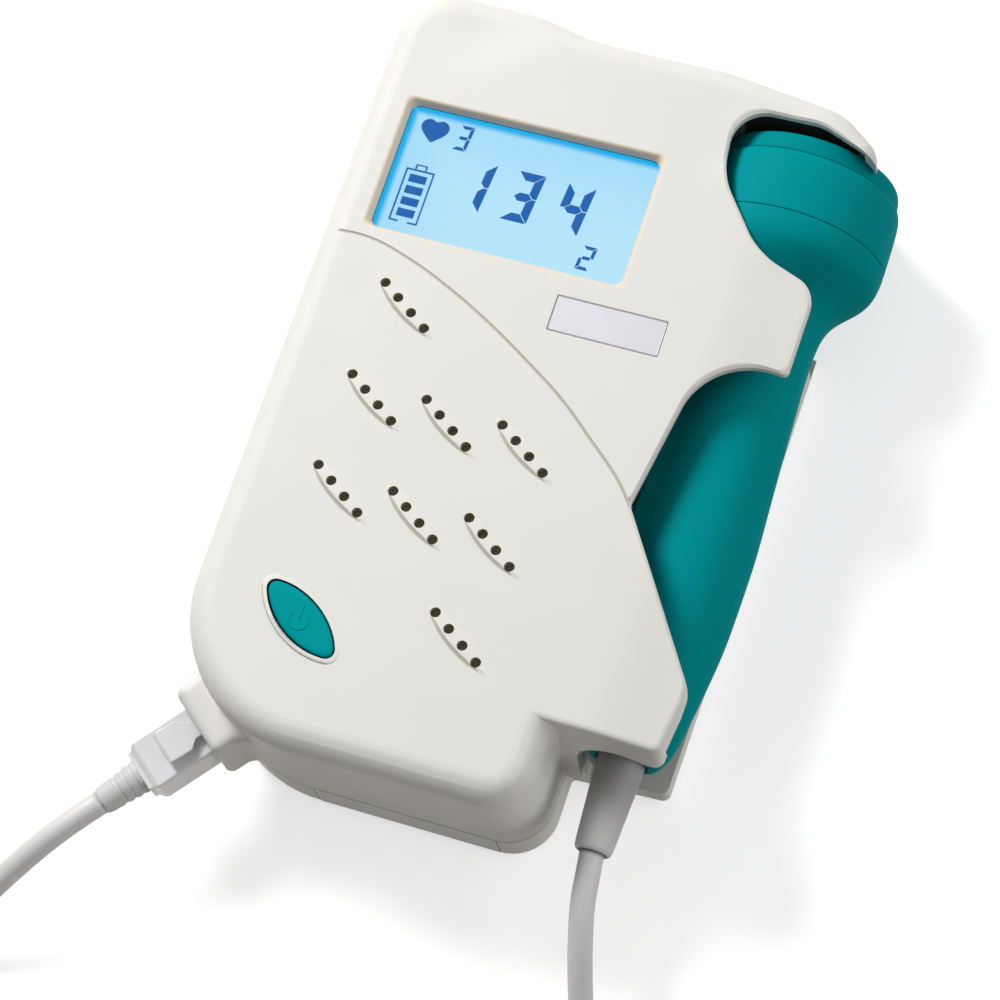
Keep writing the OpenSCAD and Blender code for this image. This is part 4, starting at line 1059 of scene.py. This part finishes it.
class BuildPlug(bpy.types.Operator):
    """Make the clear modular plug, its sleeve and its springy lever"""
    bl_idname = "doppler.plug"
    bl_label = "Plug"

    def execute(self, context):
        self.make_shell()
        self.make_sleeve()
        self.make_lever()
        return {"FINISHED"}

    def make_shell(self):
        """The plug's clear block, with a slot over each contact at its front end."""
        rings = [(20.9, 0.2), (21.1, 0), (40.2, 0), (40.8, 0.3), (41.5, 1.0), (42.2, 1.1)]
        shell = lying(box_outline(*PLUG_SECTION), rings)
        for i in range(SLOT_COUNT):
            middle = i * SLOT_PITCH + SLOT_FIRST
            slot = bar(20, 27, middle - SLOT_HALF, middle + SLOT_HALF, 2.4, 4)
            slot.data.transform(Matrix.Rotation(SOCKET_TURN, 4, "Z"))
            slot.data.transform(Matrix.Translation((*SOCKET_CENTRE, PLUG_Z)))
            boolean(shell, slot)
        settle(shell, "plug_shell", FINISHES["plug"], "root", ["plug_body"])

    def make_sleeve(self):
        """The ribbed sleeve where the lead enters, from (distance along X, radius)."""
        profile = [
            (42.2, 3.0), (43, 3.0), (43.1, 2.8), (43.7, 2.8), (43.8, 2.95), (44.6, 2.85),
            (44.7, 2.65), (45.3, 2.65), (45.4, 2.8), (46.2, 2.7), (46.3, 2.5), (46.9, 2.5),
            (47, 2.65), (49.6, 2.45), (50.1, 2.3), (50.2, 2.12), (44, 2.12), (42.2, 2.12)]
        bm = bmesh.new()
        verts = [bm.verts.new((along, radius, 0)) for along, radius in profile]
        edges = [bm.edges.new(pair) for pair in zip(verts, verts[1:] + verts[:1])]
        bmesh.ops.spin(bm, geom=verts + edges, cent=(0, 0, 0), axis=(1, 0, 0), angle=2 * math.pi,
                       steps=40, use_merge=True)
        bmesh.ops.remove_doubles(bm, verts=bm.verts, dist=0.0001)
        bmesh.ops.recalc_face_normals(bm, faces=bm.faces)
        settle(at_plug(bm), "plug_sleeve", FINISHES["boot"], "root", ["plug_hood"])

    def make_lever(self):
        """A tongue drawn along its side, then widened toward the finger end."""
        bm = bmesh.new()
        side = [(21.4, 3.55), (29.5, 4.12), (36.9, 4.65), (36.9, 5.35), (36.3, 5.7), (29.5, 4.9),
                (21.6, 4.45)]
        face = bm.faces.new([bm.verts.new((along, -1, up)) for along, up in side])
        extruded(bm, face, (0, 2, 0))
        for along in (31, 32.6):
            bmesh.ops.bisect_plane(bm, geom=bm.verts[:] + bm.edges[:] + bm.faces[:],
                                   plane_co=(along, 0, 0), plane_no=(1, 0, 0))
        for vert in bm.verts:
            vert.co.y *= 1.6 + 1.4 * ease(vert.co.x, 30.9, 32.7)
        bmesh.ops.recalc_face_normals(bm, faces=bm.faces)
        bmesh.ops.bevel(bm, geom=bm.edges[:], offset=0.2, segments=2, profile=0.5, affect="EDGES",
                        material=-1, clamp_overlap=True)
        settle(at_plug(bm), "plug_lever", FINISHES["plug"], "latch", ["plug_latch"])


def strokes(shapes, height, thick):
    """Flat segments of the display from their outlines, as one thin solid."""
    bm = bmesh.new()
    for corners in shapes:
        face = bm.faces.new([bm.verts.new((x, y, height)) for x, y in corners])
        extruded(bm, face, (0, 0, thick))
    bmesh.ops.recalc_face_normals(bm, faces=bm.faces)
    return solid(bm)


# The digits in mm: each kind's width, height and stroke, half the gap where two strokes meet,
# and how far they lean to the right per mm of height
LARGE_DIGIT = (4.85, 9.45, 1.55)
UPPER_DIGIT = (2.5, 4.75, 0.62)
LOWER_DIGIT = (2.5, 4.5, 0.62)
DIGIT_GAP = 0.09
DIGIT_LEAN = 0.085


def digit(x, y, wide, high, thick, parts):
    """A leaning seven-segment digit with mitred corners; parts names its dark segments."""
    gap, half, mid = DIGIT_GAP, thick / 2, high / 2
    right, inner = wide - thick, high - thick
    upper = [(0, high - gap), (0, mid + gap), (half, mid + gap), (thick, mid + half + gap),
             (thick, inner - gap)]
    across = [(gap, high), (thick + gap, inner), (right - gap, inner), (wide - gap, high)]
    shapes = {
        "a": across,
        "b": [(wide - u, v) for u, v in upper],
        "c": [(wide - u, high - v) for u, v in upper],
        "d": [(u, high - v) for u, v in across],
        "e": [(u, high - v) for u, v in upper],
        "f": upper,
        "g": [(half + gap, mid), (thick + gap, mid - half), (right - gap, mid - half),
              (wide - half - gap, mid), (right - gap, mid + half), (thick + gap, mid + half)]}
    return [[(x + u + DIGIT_LEAN * v, y + v) for u, v in shapes[k]] for k in parts]


def heart(x, y, size):
    """A plump heart, from the usual curve drawn part of the way to a circle."""
    points = []
    for i in range(40):
        t = 2 * math.pi * i / 40
        across = 16 * math.sin(t) ** 3
        up = 13 * math.cos(t) - 5 * math.cos(2 * t) - 2 * math.cos(3 * t) - math.cos(4 * t) + 2.5
        points.append((x - (0.6 * across + 6.4 * math.sin(t)) * size / 32,
                       y + (0.6 * up + 5.8 * math.cos(t)) * size / 32))
    return points


def frame_strip(x0, y0, x1, y1):
    """A straight stroke's outline, as a rectangle."""
    return [(x0, y0), (x1, y0), (x1, y1), (x0, y1)]


def battery_sign(x, y):
    """A standing battery: its outline with the cap's, open below, and four bars of charge."""
    line, wide, high = 0.32, 5.2, 10.2
    strips = [(0, 0, line, high), (4.9, 0, wide, high), (line, high - line, 4.9, high),
              (1.5, high, 1.8, 11.2), (3.3, high, 3.6, 11.2), (1.8, 10.95, 3.3, 11.2),
              (line, 0, 1.7, line), (3.4, 0, 4.9, line)]
    strips += [(1, up, 4.15, up + 1.5) for up in (1.1, 3.3, 5.5, 7.7)]
    return [frame_strip(x + left, y + low, x + right, y + top) for left, low, right, top in strips]


class BuildDisplay(bpy.types.Operator):
    """Make the clear window, the backlit film and what it shows"""
    bl_idname = "doppler.display"
    bl_label = "Display"

    def execute(self, context):
        window = lofted(box_outline(*WINDOW), [(33.3, 0), (33.45, 0), (33.5, 0.05)])
        settle(window, "display_glass", FINISHES["glass"], "root", ["display_window"])
        film = slab(box_outline(*FILM), 33.05, 33.2)
        settle(film, "display_film", FINISHES["panel"], "root")
        shapes = []
        for x, parts in ((-26.15, "bc"), (-17.4, "abcdg"), (-8.3, "bcfg")):
            shapes += digit(x, 29.65, *LARGE_DIGIT, parts)
        shapes += digit(-29.5, 40.1, *UPPER_DIGIT, "abcdg")
        shapes += digit(-2.0, 24, *LOWER_DIGIT, "abdeg")
        shapes.append(heart(-33.45, 42.65, 5.1))
        shapes += battery_sign(-35.9, 24.6)
        marks = strokes(shapes, 33.22, 0.03)
        settle(marks, "display_marks", FINISHES["ink"], "root", weighted=False)
        return {"FINISHED"}


class BuildTrim(bpy.types.Operator):
    """Make the power button with its raised sign, and the bare name plate"""
    bl_idname = "doppler.trim"
    bl_label = "Button and plate"

    def execute(self, context):
        self.make_button()
        plate = lofted(box_outline(*PLATE), [(34.4, 0), (34.9, 0), (FRONT_Z, 0.12)])
        settle(plate, "plate_face", FINISHES["plate"], "root", ["name_plate"])
        return {"FINISHED"}

    def make_button(self):
        """A domed leaf on a wider flange, with a line round part of a circle and a short stem."""
        rings = [(31.8, 0), (34.6, 0), (34.85, 0.06), (35.03, 0.2), (35.14, 0.45), (35.2, 0.9),
                 (35.24, 1.6)]
        cap = lofted(at_button(BUTTON_LEAF), rings)
        boolean(cap, slab(at_button(BUTTON_FLANGE), 31.8, 32.9), "UNION")
        middle = Vector((*SIGN_AT, 0))
        turns = [math.radians(52 + 256 * i / 20) for i in range(21)]
        ring = [Vector((SIGN_RING * math.sin(a), SIGN_RING * math.cos(a), SIGN_Z)) for a in turns]
        stem = [Vector((0, 0, SIGN_Z)), Vector((0, 2.3, SIGN_Z))]
        for line in (ring, stem):
            stroke = tube([middle + point for point in line], SIGN_LINE, 3, 3)
            boolean(cap, stroke, "UNION")
        settle(cap, "power_key", FINISHES["button"], "button", ["button_cap"])


class DressInside(bpy.types.Operator):
    """Give the parts inside the case their finishes"""
    bl_idname = "doppler.inside"
    bl_label = "Inner parts"

    def execute(self, context):
        dress = {
            "display_module": "panel", "display_gasket": "foam", "display_holder": "inner",
            "main_board": "board", "speaker": "paper", "speaker_gasket": "foam",
            "tact_switch": "nylon", "lead_socket": "nylon", "socket_contacts": "gold",
            "volume_pot": "nylon", "volume_wheel": "wheel", "earphone_jack": "nylon",
            "case_screws": "zinc", "battery_box": "inner", "battery_cells": "wrap",
            "battery_contacts": "zinc", "probe_board": "board", "probe_discs": "ceramic"}
        for node, finish in dress.items():
            slots = bpy.data.objects[node].data.materials
            slots.clear()
            slots.append(FINISHES[finish])
        return {"FINISHED"}


class BuildStage(bpy.types.Operator):
    """Make the pale floor, the soft studio light and the camera at the photograph's angle"""
    bl_idname = "doppler.stage"
    bl_label = "Stage"

    def execute(self, context):
        scene = context.scene
        scene.view_settings.view_transform = "Standard"
        self.place_camera(scene)
        self.light_world(scene)
        key = bpy.data.lights.new("key", "AREA")
        key.shape = "DISK"
        key.size = KEY_WIDTH
        key.energy = KEY_WATTS
        self.aim(scene, key, KEY_FROM)
        fill = bpy.data.lights.new("fill", "SUN")
        fill.energy = FILL_STRENGTH
        fill.angle = FILL_ANGLE
        self.aim(scene, fill, FILL_FROM)
        bm = bmesh.new()
        bmesh.ops.create_grid(bm, x_segments=1, y_segments=1, size=3)
        # A hair below the back cover, so that the two planes don't coincide
        bmesh.ops.translate(bm, vec=(0, 0, -0.00005), verts=bm.verts)
        floor = solid(bm, "floor")
        floor.data.materials.append(self.floor_material())
        return {"FINISHED"}

    def aim(self, scene, lamp, source):
        """Puts a lamp in its place and points it at the origin."""
        thing = bpy.data.objects.new(lamp.name, lamp)
        thing.rotation_euler = Vector(source).to_track_quat("Z", "Y").to_euler()
        thing.location = Vector(source)
        scene.collection.objects.link(thing)

    def place_camera(self, scene):
        """The camera where the photograph's was, with its view's three directions as axes."""
        lens = bpy.data.cameras.new("camera")
        lens.lens = CAMERA_LENS
        lens.sensor_width = CAMERA_FILM
        lens.sensor_fit = "HORIZONTAL"
        lens.clip_end = 20
        camera = bpy.data.objects.new("camera", lens)
        right, down, ahead = CAMERA_AXES
        rows = [(right[i], -down[i], -ahead[i], CAMERA_AT[i] * MM) for i in range(3)]
        camera.matrix_world = Matrix((*rows, (0, 0, 0, 1)))
        scene.collection.objects.link(camera)
        scene.camera = camera

    def background(self, tree):
        """1 where a ray of the camera, a reflection or clear plastic meets it, else 0."""
        path = add(tree, "ShaderNodeLightPath")
        seen = path.outputs["Is Camera Ray"]
        for other in ("Is Glossy Ray", "Is Transmission Ray"):
            seen = add(tree, "ShaderNodeMath", links={0: seen, 1: path.outputs[other]},
                       operation="MAXIMUM").outputs[0]
        return seen

    def light_world(self, scene):
        """A white room to look at, which lights the object only dimly."""
        world = bpy.data.worlds.new("studio")
        world.use_nodes = True
        scene.world = world
        tree = world.node_tree
        tree.nodes.clear()
        dim = add(tree, "ShaderNodeBackground", {"Color": (1, 1, 1, 1), "Strength": 0.24})
        white = add(tree, "ShaderNodeBackground", {"Color": (1, 1, 1, 1), "Strength": 1.0})
        mix = add(tree, "ShaderNodeMixShader", links={
            0: self.background(tree), 1: dim.outputs[0], 2: white.outputs[0]})
        add(tree, "ShaderNodeOutputWorld", links={"Surface": mix.outputs[0]})

    def floor_material(self):
        """Matt white paper with light behind it, so that it stays white under a pale shadow. To
        the object's own light it is a dim brown, which keeps the shaded walls warm."""
        material = empty_material("White table")
        tree = material.node_tree
        dim = add(tree, "ShaderNodeBsdfDiffuse", {"Color": (0.13, 0.1, 0.065, 1)})
        matt = add(tree, "ShaderNodeBsdfDiffuse", {"Color": (0.86, 0.86, 0.86, 1)})
        glow = add(tree, "ShaderNodeEmission", {"Color": (1, 1, 1, 1), "Strength": 0.58})
        both = add(tree, "ShaderNodeAddShader", links={0: matt.outputs[0], 1: glow.outputs[0]})
        mix = add(tree, "ShaderNodeMixShader", links={
            0: self.background(tree), 1: dim.outputs[0], 2: both.outputs[0]})
        add(tree, "ShaderNodeOutputMaterial", links={"Surface": mix.outputs[0]})
        return material


class DopplerSizes(bpy.types.PropertyGroup):
    """Sizes that a user may change"""
    edge_round: bpy.props.FloatProperty(
        name="Edge rounding", description="Radius of the case's upper edge", default=0.0045,
        min=0.001, max=0.006, subtype="DISTANCE", unit="LENGTH")
    lip_round: bpy.props.FloatProperty(
        name="Dock lip", description="Radius of the rounded lip round the dock", default=0.0004,
        min=0.0001, max=0.0012, subtype="DISTANCE", unit="LENGTH")
    lead_diameter: bpy.props.FloatProperty(
        name="Lead diameter", description="Diameter of the round lead", default=0.0042,
        min=0.003, max=0.0042, subtype="DISTANCE", unit="LENGTH")


def picked(name, description, colour):
    """A colour that a user may change, with its default from sRGB hex."""
    return bpy.props.FloatVectorProperty(
        name=name, description=description, default=linear(colour)[:3], size=3, min=0.0, max=1.0,
        subtype="COLOR")


class DopplerColours(bpy.types.PropertyGroup):
    """Colours that a user may change, each with the second tone of its faint mottle"""
    case: picked("Case", "Colour of the front cover", "EDEBE5")
    case_mottle: picked("Case mottle", "Second tone of the front cover", "E9E7E1")
    probe: picked("Probe", "Colour of the probe's grip and ring", "00999F")
    probe_mottle: picked("Probe mottle", "Second tone of the grip and ring", "00949A")
    lead: picked("Lead", "Colour of the lead", "E2E1DF")
    lead_mottle: picked("Lead mottle", "Second tone of the lead", "DBDAD8")


class DopplerPanel(bpy.types.Panel):
    """Buttons that make the doppler piece by piece"""
    bl_idname = "DOPPLER_PT_pieces"
    bl_label = "Pocket Doppler"
    bl_space_type = "VIEW_3D"
    bl_region_type = "UI"
    bl_category = "Doppler"

    def draw(self, context):
        for group in (context.scene.doppler_sizes, context.scene.doppler_colours):
            for name in type(group).__annotations__:
                self.layout.prop(group, name)
        for operator in OPERATORS:
            self.layout.operator(operator.bl_idname)


OPERATORS = (MakeFinishes, BuildStage, BuildPlug, BuildLead, BuildFront, BuildBack, BuildProbe,
             BuildDisplay, BuildTrim, DressInside)
CLASSES = (DopplerSizes, DopplerColours, *OPERATORS, DopplerPanel)


def register():
    """Makes the classes and the scene's sizes and colours known."""
    for cls in CLASSES:
        bpy.utils.register_class(cls)
    bpy.types.Scene.doppler_sizes = bpy.props.PointerProperty(type=DopplerSizes)
    bpy.types.Scene.doppler_colours = bpy.props.PointerProperty(type=DopplerColours)


def unregister():
    """Takes them away again."""
    del bpy.types.Scene.doppler_colours
    del bpy.types.Scene.doppler_sizes
    for cls in reversed(CLASSES):
        bpy.utils.unregister_class(cls)


def main():
    """Makes every piece in order."""
    register()
    for operator in OPERATORS:
        family, name = operator.bl_idname.split(".")
        getattr(getattr(bpy.ops, family), name)()


if __name__ == "__main__":
    main()
